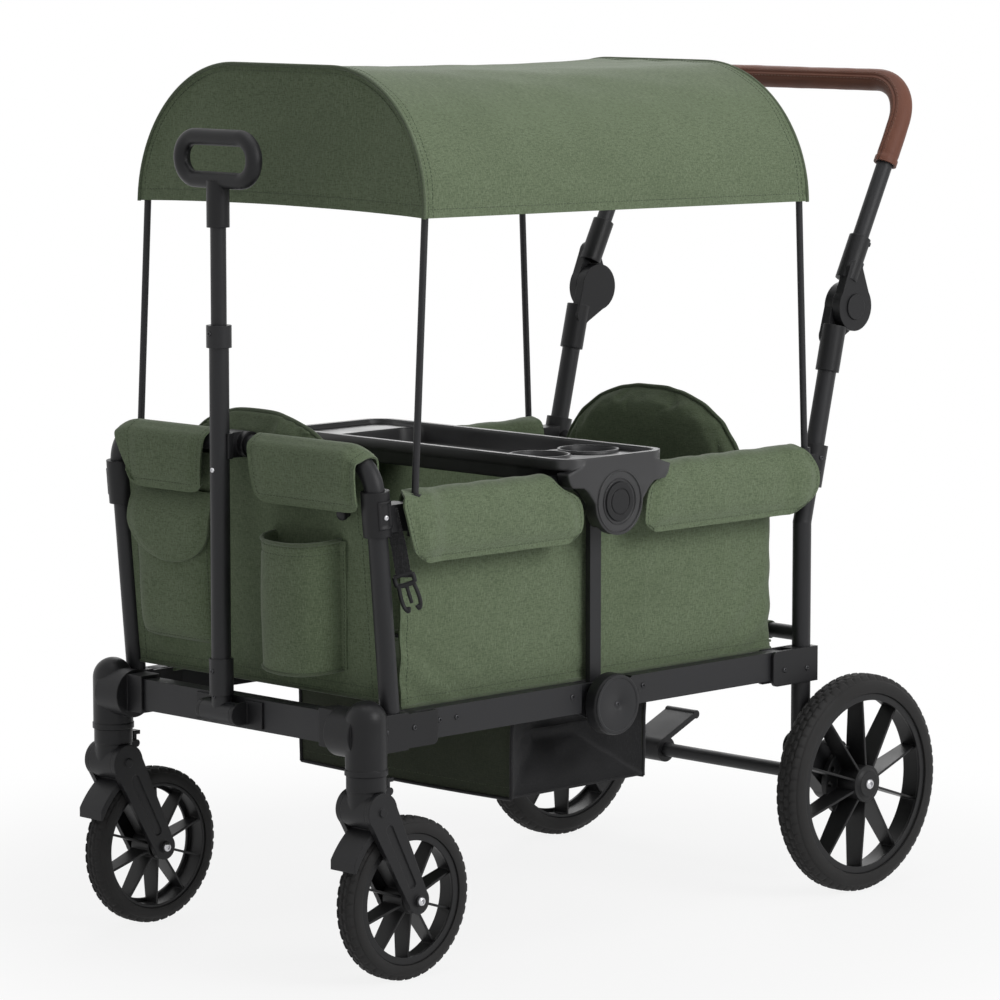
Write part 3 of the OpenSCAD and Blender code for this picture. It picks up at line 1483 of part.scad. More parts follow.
seat_back_t = 30;
seat_back_w = tub_w - 2 * cloth_t - 2 * seat_room;

module front_seat() {
    back_face = collar_d / 2 + 0.6 + flap_t + fit_clear;
    base_y = front_pivot_y + 10;
    foot = 26;
    rise = seat_back_h / cos(front_lean);
    color(deep_sage) {
        lean_front() translate([0, back_face, foot + eps]) back_cushion(seat_back_w, rise, seat_back_t);
        translate([0, base_y, tub_floor_z + gap]) cushion(seat_back_w, seat_depth, seat_t);
    }
}

module rear_seat() {
    back_y = tub_back_y - cloth_t - fit_clear;
    color(deep_sage) {
        translate([0, back_y, tub_floor_z + fit_clear]) mirror([0, 1, 0])
            back_cushion(seat_back_w, seat_back_h, seat_back_t);
        translate([0, back_y - seat_back_t - gap, tub_floor_z + fit_clear]) mirror([0, 1, 0])
            cushion(seat_back_w, seat_depth, seat_t);
    }
}

rear_posts();
rear_brackets();
rear_collars();
rear_feet();
rear_axle();
handle_hub_bases();
rear_lower_rails();
front_lower_rails();
rear_upper_rails();
front_upper_rails();
mid_posts();
lower_hinges();
upper_hinges();
front_posts();
front_hoop();
front_collars();
caster_housings();
front_crossbar();
pull_mounts();
caster_crown(1);  // caster_crown_left
caster_crown(-1);  // caster_crown_right
caster_fork(1);  // caster_fork_left
caster_fork(-1);  // caster_fork_right
swivel_lock(1);  // swivel_lock_left
swivel_lock(-1);  // swivel_lock_right
front_tyre(1);  // front_tyre_left
front_tyre(-1);  // front_tyre_right
front_rim(1);  // front_rim_left
front_rim(-1);  // front_rim_right
rear_tyre(1);  // rear_tyre_left
rear_tyre(-1);  // rear_tyre_right
rear_rim(1);  // rear_rim_left
rear_rim(-1);  // rear_rim_right
brake_pedal();
brake_pin(1);  // brake_pin_left
brake_pin(-1);  // brake_pin_right
push_handle_tube();
push_handle_grip();
push_handle_hubs();
push_button(1);  // push_button_left
push_button(-1);  // push_button_right
pull_tube_lower();
pull_tube_upper();
pull_grip();
tray();
tray_button(1);  // tray_button_left
tray_button(-1);  // tray_button_right
canopy_bow_front();
canopy_bow_rear();
canopy_cover();
tub();
footwell();
front_panel();
front_pockets();
front_flaps();
front_side_flaps();
rear_side_flaps();
front_seat();
rear_seat();
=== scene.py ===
import math

import bmesh
import bpy
import numpy as np
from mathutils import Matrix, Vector
from mathutils.bvhtree import BVHTree


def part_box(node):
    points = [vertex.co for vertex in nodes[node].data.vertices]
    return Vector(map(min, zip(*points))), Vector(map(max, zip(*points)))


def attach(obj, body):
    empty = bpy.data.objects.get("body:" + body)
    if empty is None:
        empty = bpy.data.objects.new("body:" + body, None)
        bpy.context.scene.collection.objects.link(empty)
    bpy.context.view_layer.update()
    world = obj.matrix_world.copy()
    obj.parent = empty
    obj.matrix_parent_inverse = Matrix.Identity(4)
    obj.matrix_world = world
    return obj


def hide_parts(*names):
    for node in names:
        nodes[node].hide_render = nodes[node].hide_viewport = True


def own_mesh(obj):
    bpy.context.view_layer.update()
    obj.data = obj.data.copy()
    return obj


# Looks of a folding stroller wagon: sewn cloth, padding, leather and small hardware on the CAD frame.
# Shapes are drawn in millimetres in the part's frame and scaled to metres when a piece is made.

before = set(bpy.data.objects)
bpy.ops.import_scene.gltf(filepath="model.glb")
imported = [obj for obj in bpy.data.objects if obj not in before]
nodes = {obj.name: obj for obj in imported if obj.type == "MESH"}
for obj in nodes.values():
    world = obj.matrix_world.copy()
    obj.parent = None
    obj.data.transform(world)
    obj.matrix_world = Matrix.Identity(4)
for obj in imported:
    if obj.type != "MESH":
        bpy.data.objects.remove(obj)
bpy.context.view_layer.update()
scene = bpy.context.scene

MM = 0.001

# Frame: the mid hinges, the tubes' half width, the front posts' foot and lean, and the hoop on them
MID_Y, LOW_HINGE_Z, HIGH_HINGE_Z = -82.43, 307.0, 570.0
FRAME_HALF, POST_D, COLLAR_D = 240.0, 25.0, 36.0
POST_Y, POST_Z, POST_LEAN = -457.43, 338.0, math.radians(5)
HOOP_TOP, HOOP_R = 318.2, 45.0

# Tub's walls and floor, and the footwell under it
TUB_HALF, TUB_FRONT, TUB_BACK, TUB_LOW, TUB_HIGH, TUB_FLOOR = 214.0, -414.4, 280.6, 342.0, 587.0, 346.0
WELL_HALF, WELL_LOW, WELL_REACH = 202.0, 190.0, 125.0

# Canopy: its arch, the poles' place and lean at their sockets, and its slope from front to rear
HEM_Z, CANOPY_Z, CANOPY_HALF, CANOPY_R = 946.0, 1127.0, 266.9, 176.0
SOCKET_Z, FRONT_POLE_Y, REAR_POLE_Y, CLOTH_OFF_POLE = 557.0, -434.43, 288.57, 7.9
FRONT_POLE_LEAN, REAR_POLE_LEAN = math.radians(3), math.radians(2.5)
CANOPY_FALLS_FROM, CANOPY_FALL = -404.6, math.radians(0.7)
CANOPY_SEAM, CANOPY_HEM = 9.0, 12.0

# Distance from the middle at which a line that looks for the frame's outer side starts
OUTSIDE = 400.0

# Push handle: its pivot, tilt, length and bend, and how far ahead of the pivot its tube stands
HANDLE_Y, HANDLE_Z, HANDLE_TILT, HANDLE_LEN, HANDLE_R = 394.59, 790.0, math.radians(27), 325.0, 62.0
HANDLE_AHEAD = 21.0


# Camera, floor and light

def place_camera():
    """The photograph's own view, solved from the object's straight tubes and wheels."""
    turn, fall = math.radians(45.2), math.radians(7.1)
    lens = bpy.data.cameras.new("photo_camera")
    lens.lens = 169.7
    lens.sensor_width = 36.0
    lens.clip_end = 100.0
    camera = bpy.data.objects.new("photo_camera", lens)
    camera.location = (4.4014, -4.3985, 1.3157)
    look = Vector((-math.sin(turn) * math.cos(fall), math.cos(turn) * math.cos(fall), -math.sin(fall)))
    camera.rotation_euler = look.to_track_quat("-Z", "Y").to_euler()
    scene.collection.objects.link(camera)
    scene.camera = camera


def join(tree, kind, sockets=None, **settings):
    """A shader node with its settings; a socket takes a plain value or another node's output."""
    made = tree.nodes.new(kind)
    for key, value in settings.items():
        setattr(made, key, value)
    for key, value in (sockets or {}).items():
        socket = made.inputs[key]
        if isinstance(value, bpy.types.NodeSocket):
            tree.links.new(value, socket)
        else:
            socket.default_value = value
    return made


def shown_ray(tree):
    """1 for what the camera sees directly, in gloss or through glass, 0 for plain light."""
    path = join(tree, "ShaderNodeLightPath")
    seen = join(tree, "ShaderNodeMath", {0: path.outputs["Is Camera Ray"], 1: path.outputs["Is Glossy Ray"]},
                operation="MAXIMUM")
    seen = join(tree, "ShaderNodeMath", {0: seen.outputs[0], 1: path.outputs["Is Transmission Ray"]},
                operation="MAXIMUM")
    return seen.outputs[0]


def studio_floor():
    """A pale floor that keeps the shadow near the wagon and runs out to white."""
    mesh = bpy.data.meshes.new("studio_floor")
    reach = 30.0
    corners = [(-reach, -reach, 0), (reach, -reach, 0), (reach, reach, 0), (-reach, reach, 0)]
    mesh.from_pydata(corners, [], [(0, 1, 2, 3)])
    floor = bpy.data.objects.new("studio_floor", mesh)
    scene.collection.objects.link(floor)
    paper = bpy.data.materials.new("floor_paper")
    paper.use_nodes = True
    tree = paper.node_tree
    tree.nodes.clear()
    matt = join(tree, "ShaderNodeBsdfDiffuse", {"Color": (0.9, 0.9, 0.9, 1)})
    white = join(tree, "ShaderNodeEmission", {"Color": (1, 1, 1, 1), "Strength": 1.0})
    spot = join(tree, "ShaderNodeNewGeometry")
    away = join(tree, "ShaderNodeVectorMath", {0: spot.outputs["Position"]}, operation="LENGTH")
    runs_out = {"Value": away.outputs["Value"], "From Min": 0.55, "From Max": 1.25,
                "To Min": 0.86, "To Max": 1.0}
    plain = join(tree, "ShaderNodeMapRange", runs_out, interpolation_type="SMOOTHSTEP")
    share = join(tree, "ShaderNodeMath", {0: shown_ray(tree), 1: plain.outputs[0]}, operation="MULTIPLY")
    both = join(tree, "ShaderNodeMixShader", {0: share.outputs[0], 1: matt.outputs[0], 2: white.outputs[0]})
    out = join(tree, "ShaderNodeOutputMaterial")
    tree.links.new(both.outputs[0], out.inputs["Surface"])
    mesh.materials.append(paper)


def studio_light():
    """A white surround, one large key from the left and softer lamps above, in front and behind."""
    world = bpy.data.worlds.new("studio_world")
    scene.world = world
    world.use_nodes = True
    tree = world.node_tree
    tree.nodes.clear()
    soft = join(tree, "ShaderNodeBackground", {"Color": (1, 1, 1, 1), "Strength": 0.2})
    white = join(tree, "ShaderNodeBackground", {"Color": (1, 1, 1, 1), "Strength": 1.0})
    both = join(tree, "ShaderNodeMixShader", {0: shown_ray(tree), 1: soft.outputs[0], 2: white.outputs[0]})
    out = join(tree, "ShaderNodeOutputWorld")
    tree.links.new(both.outputs[0], out.inputs["Surface"])
    for name, place, size, power in (
        ("key_light", (3.6, 0.5, 2.3), 2.4, 66.0),
        ("top_light", (0.3, -0.2, 3.6), 2.6, 25.0),
        ("fill_light", (-1.2, -3.6, 1.5), 2.4, 3.0),
        ("rear_light", (-2.4, 2.6, 2.4), 2.0, 22.0),
    ):
        lamp = bpy.data.lights.new(name, "AREA")
        lamp.shape = "DISK"
        lamp.size = size
        lamp.energy = power
        holder = bpy.data.objects.new(name, lamp)
        holder.location = place
        aim = Vector((0, -0.05, 0.6)) - Vector(place)
        holder.rotation_euler = aim.to_track_quat("-Z", "Y").to_euler()
        scene.collection.objects.link(holder)
    scene.view_settings.view_transform = "Standard"


# Finishes

def effect(name, inputs, outputs):
    """An empty shader node group with named sockets."""
    tree = bpy.data.node_groups.new(name, "ShaderNodeTree")
    for label, kind, value in inputs:
        socket = tree.interface.new_socket(label, in_out="INPUT", socket_type=kind)
        socket.default_value = value
    for label, kind in outputs:
        tree.interface.new_socket(label, in_out="OUTPUT", socket_type=kind)
    return tree, join(tree, "NodeGroupInput").outputs, join(tree, "NodeGroupOutput").inputs


def stretched_noise(tree, place, scale, detail, rough):
    """Noise with its own scale along each axis."""
    spread = join(tree, "ShaderNodeMapping", {"Vector": place, "Scale": scale})
    noise = join(tree, "ShaderNodeTexNoise",
                 {"Vector": spread.outputs[0], "Scale": 1.0, "Detail": detail, "Roughness": rough})
    return noise.outputs["Fac"]


def ramp(tree, value, low, high):
    """0 to 1 as a value goes from low to high."""
    made = join(tree, "ShaderNodeMapRange",
                {"Value": value, "From Min": low, "From Max": high, "To Min": 0.0, "To Max": 1.0})
    return made.outputs[0]


def blend_of(tree, share, first, second):
    """A colour between two others."""
    made = tree.nodes.new("ShaderNodeMix")
    made.data_type = "RGBA"
    for key, value in (("Factor_Float", share), ("A_Color", first), ("B_Color", second)):
        socket = next(s for s in made.inputs if s.identifier == key)
        if isinstance(value, bpy.types.NodeSocket):
            tree.links.new(value, socket)
        else:
            socket.default_value = value
    return next(s for s in made.outputs if s.identifier == "Result_Color")


def number_of(tree, operation, first, second):
    return join(tree, "ShaderNodeMath", {0: first, 1: second}, operation=operation).outputs[0]


def heather_weave():
    """Two-tone woven yarn: long flecks along the weft, short ones along the warp, and the thread relief."""
    tree, given, made = effect(
        "heather_weave",
        (("Yarn", "NodeSocketColor", (0.2, 0.2, 0.2, 1)),
         ("Dark Fleck", "NodeSocketColor", (0.05, 0.05, 0.05, 1)),
         ("Pale Fleck", "NodeSocketColor", (0.4, 0.4, 0.4, 1)),
         ("Fleck Share", "NodeSocketFloat", 0.5)),
        (("Color", "NodeSocketColor"), ("Height", "NodeSocketFloat"), ("Fade", "NodeSocketFloat")))
    spot = join(tree, "ShaderNodeTexCoord")
    place = spot.outputs["Object"]
    lie = join(tree, "ShaderNodeSeparateXYZ", {0: spot.outputs["Normal"]})
    level = join(tree, "ShaderNodeMath", {0: lie.outputs["Z"]}, operation="ABSOLUTE")
    flat = ramp(tree, level.outputs[0], 0.6, 0.8)

    def yarns(upright, lying, detail):
        first = stretched_noise(tree, place, upright, detail, 0.6)
        second = stretched_noise(tree, place, lying, detail, 0.6)
        pick = join(tree, "ShaderNodeMix", {0: flat, 2: first, 3: second}, data_type="FLOAT")
        return pick.outputs[0]

    weft = yarns((140, 140, 900), (140, 900, 140), 1.0)
    warp = yarns((820, 820, 170), (820, 170, 820), 1.0)
    fine = yarns((700, 700, 1500), (700, 1500, 700), 0.0)
    fade = stretched_noise(tree, place, (6, 6, 6), 3.0, 0.55)
    dark = number_of(tree, "MULTIPLY", ramp(tree, weft, 0.45, 0.66), given["Fleck Share"])
    pale = number_of(tree, "MULTIPLY", ramp(tree, warp, 0.48, 0.7), given["Fleck Share"])
    tone = blend_of(tree, dark, given["Yarn"], given["Dark Fleck"])
    tone = blend_of(tree, pale, tone, given["Pale Fleck"])
    shade = number_of(tree, "MULTIPLY", ramp(tree, fade, 0.45, 0.7), 0.16)
    tone = blend_of(tree, shade, tone, given["Dark Fleck"])
    raised = [number_of(tree, "MULTIPLY", yarn, share) for yarn, share in ((weft, 0.6), (warp, 0.4))]
    relief = number_of(tree, "ADD", *raised)
    relief = number_of(tree, "ADD", relief, number_of(tree, "MULTIPLY", fine, 0.5))
    tree.links.new(tone, made["Color"])
    tree.links.new(relief, made["Height"])
    tree.links.new(fade, made["Fade"])
    return tree


def fine_grain():
    """Pebbled relief and a slow mottle, for moulded, painted, rubber and leather surfaces."""
    tree, given, made = effect(
        "fine_grain", (("Grain Scale", "NodeSocketFloat", 600.0), ("Mottle Scale", "NodeSocketFloat", 14.0)),
        (("Height", "NodeSocketFloat"), ("Mottle", "NodeSocketFloat"), ("Cells", "NodeSocketFloat")))
    place = join(tree, "ShaderNodeTexCoord").outputs["Object"]
    grain = join(tree, "ShaderNodeTexNoise", {"Vector": place, "Scale": given["Grain Scale"], "Detail": 3.0})
    cells = join(tree, "ShaderNodeTexVoronoi", {"Vector": place, "Scale": given["Grain Scale"]}, feature="F1")
    mottle = join(tree, "ShaderNodeTexNoise",
                  {"Vector": place, "Scale": given["Mottle Scale"], "Detail": 4.0})
    tree.links.new(grain.outputs["Fac"], made["Height"])
    tree.links.new(ramp(tree, mottle.outputs["Fac"], 0.3, 0.7), made["Mottle"])
    tree.links.new(cells.outputs["Distance"], made["Cells"])
    return tree


def rounded_edges():
    """Normals softened over sharp corners, and a mask of the corners that hands and feet rub."""
    tree, given, made = effect(
        "rounded_edges", (("Radius", "NodeSocketFloat", 0.0015), ("Rub Scale", "NodeSocketFloat", 40.0)),
        (("Normal", "NodeSocketVector"), ("Rubbed", "NodeSocketFloat")))
    soft = join(tree, "ShaderNodeBevel", {"Radius": given["Radius"]}, samples=4)
    true = join(tree, "ShaderNodeNewGeometry")
    turn = join(tree, "ShaderNodeVectorMath", {0: soft.outputs[0], 1: true.outputs["Normal"]},
                operation="DOT_PRODUCT")
    edge = ramp(tree, turn.outputs["Value"], 0.995, 0.86)
    place = join(tree, "ShaderNodeTexCoord").outputs["Object"]
    patch = join(tree, "ShaderNodeTexNoise", {"Vector": place, "Scale": given["Rub Scale"], "Detail": 3.0})
    rubbed = number_of(tree, "MULTIPLY", edge, ramp(tree, patch.outputs["Fac"], 0.42, 0.62))
    tree.links.new(soft.outputs[0], made["Normal"])
    tree.links.new(rubbed, made["Rubbed"])
    return tree


WEAVE = heather_weave()
GRAIN = fine_grain()
EDGES = rounded_edges()


def blank_finish(name):
    """A new material, its node tree and its surface shader."""
    finish = bpy.data.materials.new(name)
    finish.use_nodes = True
    tree = finish.node_tree
    shader = next(n for n in tree.nodes if n.type == "BSDF_PRINCIPLED")
    return finish, tree, shader


def cloth_finish(name, yarn, dark, pale, share=0.5, relief=0.35, rough=0.86, sheen=0.25):
    """Woven cloth: its yarn, the dark and pale flecks in it and how much they show."""
    finish, tree, shader = blank_finish(name)
    weave = join(tree, "ShaderNodeGroup", node_tree=WEAVE)
    for key, value in (("Yarn", yarn), ("Dark Fleck", dark), ("Pale Fleck", pale)):
        weave.inputs[key].default_value = (*value, 1)
    weave.inputs["Fleck Share"].default_value = share
    bump = join(tree, "ShaderNodeBump", {"Height": weave.outputs["Height"], "Strength": relief,
                                         "Distance": 0.0009})
    tree.links.new(weave.outputs["Color"], shader.inputs["Base Color"])
    tree.links.new(bump.outputs[0], shader.inputs["Normal"])
    level = number_of(tree, "MULTIPLY_ADD", weave.outputs["Fade"], 0.12)
    level.node.inputs[2].default_value = rough - 0.06
    tree.links.new(level, shader.inputs["Roughness"])
    shader.inputs["Sheen Weight"].default_value = sheen
    shader.inputs["Sheen Roughness"].default_value = 0.5
    shader.inputs["Specular IOR Level"].default_value = 0.2
    return finish


def hard_finish(name, base, worn, rough, grain, relief, radius=0.0015, rub=0.35, metal=0.0, cells=False,
                gloss=0.5):
    """A mottled, grained finish with rubbed edges; cells gives it the pebbles of leather."""
    finish, tree, shader = blank_finish(name)
    grained = join(tree, "ShaderNodeGroup", node_tree=GRAIN)
    grained.inputs["Grain Scale"].default_value = grain
    edges = join(tree, "ShaderNodeGroup", node_tree=EDGES)
    edges.inputs["Radius"].default_value = radius
    share = number_of(tree, "MULTIPLY", edges.outputs["Rubbed"], rub)
    deep, light = ((*(c * share_of for c in base), 1) for share_of in (0.86, 1.1))
    deeper = blend_of(tree, grained.outputs["Mottle"], deep, light)
    tree.links.new(blend_of(tree, share, deeper, (*worn, 1)), shader.inputs["Base Color"])
    level = number_of(tree, "MULTIPLY_ADD", grained.outputs["Mottle"], 0.14)
    level.node.inputs[2].default_value = rough - 0.07
    tree.links.new(level, shader.inputs["Roughness"])
    height = grained.outputs["Cells"] if cells else grained.outputs["Height"]
    bump = join(tree, "ShaderNodeBump", {"Height": height, "Normal": edges.outputs["Normal"],
                                         "Strength": relief, "Distance": 0.0006})
    tree.links.new(bump.outputs[0], shader.inputs["Normal"])
    shader.inputs["Metallic"].default_value = metal
    shader.inputs["Specular IOR Level"].default_value = gloss
    return finish


SAGE = cloth_finish("sage_heather", (0.156, 0.204, 0.118), (0.082, 0.109, 0.06), (0.242, 0.3, 0.19),
                    share=0.6)
DEEP = cloth_finish("deep_sage_heather", (0.156, 0.2, 0.12), (0.08, 0.104, 0.06), (0.228, 0.278, 0.18))
# Footwell cloth: a deep sage, darkened further as painted shade for the shade that falls under the tub
WELL = cloth_finish("footwell_heather_painted_shade", (0.042, 0.051, 0.03), (0.022, 0.028, 0.016), (0.064, 0.077, 0.048))
NYLON = cloth_finish("black_nylon", (0.013, 0.013, 0.014), (0.007, 0.007, 0.008), (0.03, 0.03, 0.032),
                     share=0.35, relief=0.2, rough=0.6, sheen=0.06)
PIPING = cloth_finish("sage_piping", (0.122, 0.155, 0.096), (0.066, 0.086, 0.05), (0.18, 0.22, 0.15),
                      share=0.4)
THREAD = cloth_finish("sage_thread", (0.1, 0.128, 0.08), (0.066, 0.086, 0.05), (0.16, 0.2, 0.13),
                      share=0.3, relief=0.1)
WEBBING = cloth_finish("black_webbing", (0.018, 0.018, 0.019), (0.008, 0.008, 0.009), (0.05, 0.05, 0.052),
                       share=0.6, relief=0.5)
FRAME = hard_finish("charcoal_powder_coat", (0.019, 0.0192, 0.0212), (0.08, 0.08, 0.085),
                    rough=0.46, grain=1500.0, relief=0.16, radius=0.0012, gloss=0.3)
MOULDING = hard_finish("black_moulding", (0.0135, 0.0135, 0.0148), (0.06, 0.06, 0.063),
                       rough=0.44, grain=900.0, relief=0.1, radius=0.0022, gloss=0.25)
TRAY = hard_finish("tray_moulding", (0.0185, 0.0185, 0.0202), (0.05, 0.05, 0.053),
                   rough=0.34, grain=800.0, relief=0.1, radius=0.0045, rub=0.2, gloss=0.55)
WHEEL = hard_finish("wheel_moulding", (0.0135, 0.0135, 0.0143), (0.065, 0.065, 0.068),
                    rough=0.42, grain=800.0, relief=0.08, radius=0.0022, gloss=0.25)
RUBBER = hard_finish("tyre_rubber", (0.0212, 0.0206, 0.0206), (0.055, 0.053, 0.051),
                     rough=0.74, grain=420.0, relief=0.22, radius=0.001, rub=0.5, gloss=0.3)
LEATHER = hard_finish("brown_leather", (0.165, 0.066, 0.043), (0.2, 0.1, 0.07),
                      rough=0.52, grain=520.0, relief=0.4, rub=0.5, cells=True, gloss=0.25)
STEEL = hard_finish("zinc_steel", (0.58, 0.58, 0.6), (0.75, 0.75, 0.76),
                    rough=0.32, grain=900.0, relief=0.05, radius=0.0006, rub=0.3, metal=1.0)
BLACKENED = hard_finish("blackened_steel", (0.05, 0.05, 0.053), (0.2, 0.2, 0.21),
                        rough=0.38, grain=900.0, relief=0.05, radius=0.0006, rub=0.4, metal=1.0)
LEATHER_THREAD = cloth_finish("brown_thread", (0.2, 0.1, 0.07), (0.11, 0.05, 0.035), (0.27, 0.15, 0.1),
                              share=0.3, relief=0.1)


def finish_frame():
    """The CAD nodes that stay in view get their finish; each keeps its own mesh."""
    by_slot = {"frame_paint": FRAME, "moulding": MOULDING, "wheel_plastic": WHEEL, "tyre": RUBBER,
               "sage_fabric": SAGE, "deep_fabric": DEEP, "well_fabric": WELL, "brown_leather": LEATHER,
               "steel": STEEL}
    for name, obj in nodes.items():
        for at, old in enumerate(obj.data.materials):
            obj.data.materials[at] = TRAY if name == "tray" else by_slot[old.name.split(".")[0]]


# Making pieces

def normals_of(grid, loop=False):
    """Unit normals of a grid of points; loop says that its columns close on themselves."""
    if loop:
        across = np.roll(grid, -1, 1) - np.roll(grid, 1, 1)
    else:
        across = np.gradient(grid, axis=1)
    up = np.gradient(grid, axis=0)
    out = np.cross(across, up)
    return out / np.maximum(np.linalg.norm(out, axis=2, keepdims=True), 1e-9)


def lengths_of(path):
    """Length of a path up to each of its points."""
    steps = np.linalg.norm(np.diff(path, axis=0), axis=1)
    return np.concatenate([[0], np.cumsum(steps)])


def row(first, last, count):
    """Even steps across a grid."""
    return np.linspace(first, last, count)[None, :]


def column(first, last, count):
    """Even steps up a grid."""
    return np.linspace(first, last, count)[:, None]


def nearest(values, wanted):
    """Index of the value nearest to the wanted one."""
    return int(np.argmin(np.abs(values - wanted)))


def laid(*axes):
    """A grid of points from x, y and z values that spread over one another."""
    return np.stack(np.broadcast_arrays(*axes), -1).astype(float)


def along(path, shares):
    """Points at shares of a polyline's length."""
    path = np.asarray(path, float)
    at = lengths_of(path)
    wanted = np.asarray(shares) * at[-1]
    return np.stack([np.interp(wanted, at, path[:, k]) for k in range(path.shape[1])], -1)


def curved(path, count):
    """A smooth line through the points of a path."""
    path = np.asarray(path, float)
    ends = np.vstack([2 * path[0] - path[1], path, 2 * path[-1] - path[-2]])
    at = np.linspace(0, len(path) - 1.0001, count)
    k = at.astype(int)
    t = (at - k)[:, None]
    a, b, c, d = ends[k], ends[k + 1], ends[k + 2], ends[k + 3]
    return 0.5 * (2 * b + (c - a) * t + (2 * a - 5 * b + 4 * c - d) * t**2 + (3 * b - a - 3 * c + d) * t**3)


def quarter_turn(x, y, radius, count):
    """A quarter of a circle about a point, from its right to its top."""
    return [(x + radius * math.cos(a), y + radius * math.sin(a)) for a in np.linspace(0, math.pi / 2, count)]


def both_halves(right, count):
    """An arch from its right half and the mirror of it, in even steps."""
    right = np.array(right)
    return along(np.vstack([right, right[::-1] * (-1, 1)]), np.linspace(0, 1, count))


def outward_of(path):
    """Unit vectors that point out of a flat arch."""
    run = np.gradient(path, axis=0)
    run /= np.linalg.norm(run, axis=1, keepdims=True)
    return np.stack([run[:, 1], -run[:, 0]], -1)


def ring_faces(rings, sides, loop=False):
    """Faces between rings of points; loop joins the last ring to the first."""
    faces = []
    for i in range(rings if loop else rings - 1):
        k = (i + 1) % rings
        for j in range(sides):
            n = (j + 1) % sides
            faces.append((i * sides + j, i * sides + n, k * sides + n, k * sides + j))
    return faces


def end_faces(rings, sides):
    """Faces that close the first and the last ring."""
    return tuple(range(sides))[::-1], tuple((rings - 1) * sides + j for j in range(sides))


def ripple(a, b, seed, count=7):
    """A quiet wrinkle field from -1 to 1 over two coordinates in millimetres."""
    draw = np.random.default_rng(seed)
    total = np.zeros(np.broadcast(a, b).shape)
    for _ in range(count):
        turn, pitch, start = draw.uniform(0, math.pi), draw.uniform(28, 110), draw.uniform(0, 6.28)
        wave = np.sin((a * math.cos(turn) + b * math.sin(turn)) * 6.283 / pitch + start)
        total += wave * draw.uniform(0.5, 1)
    return total / (0.75 * count) * 1.6


def dip(distance, width):
    """A sewn groove: 1 on the line, fading over its width."""
    return np.exp(-(distance / width) ** 2)


def leaned(points):
    """From the leaning front posts' own axes to the part's frame."""
    points = np.asarray(points, float)
    c, s = math.cos(POST_LEAN), math.sin(POST_LEAN)
    x, y, z = points[..., 0], points[..., 1], points[..., 2]
    return np.stack([x, POST_Y + y * c - z * s, POST_Z + y * s + z * c], -1)


def mirrored(points):
    """The same points on the other side of the wagon."""
    return np.asarray(points) * np.array([-1.0, 1.0, 1.0])


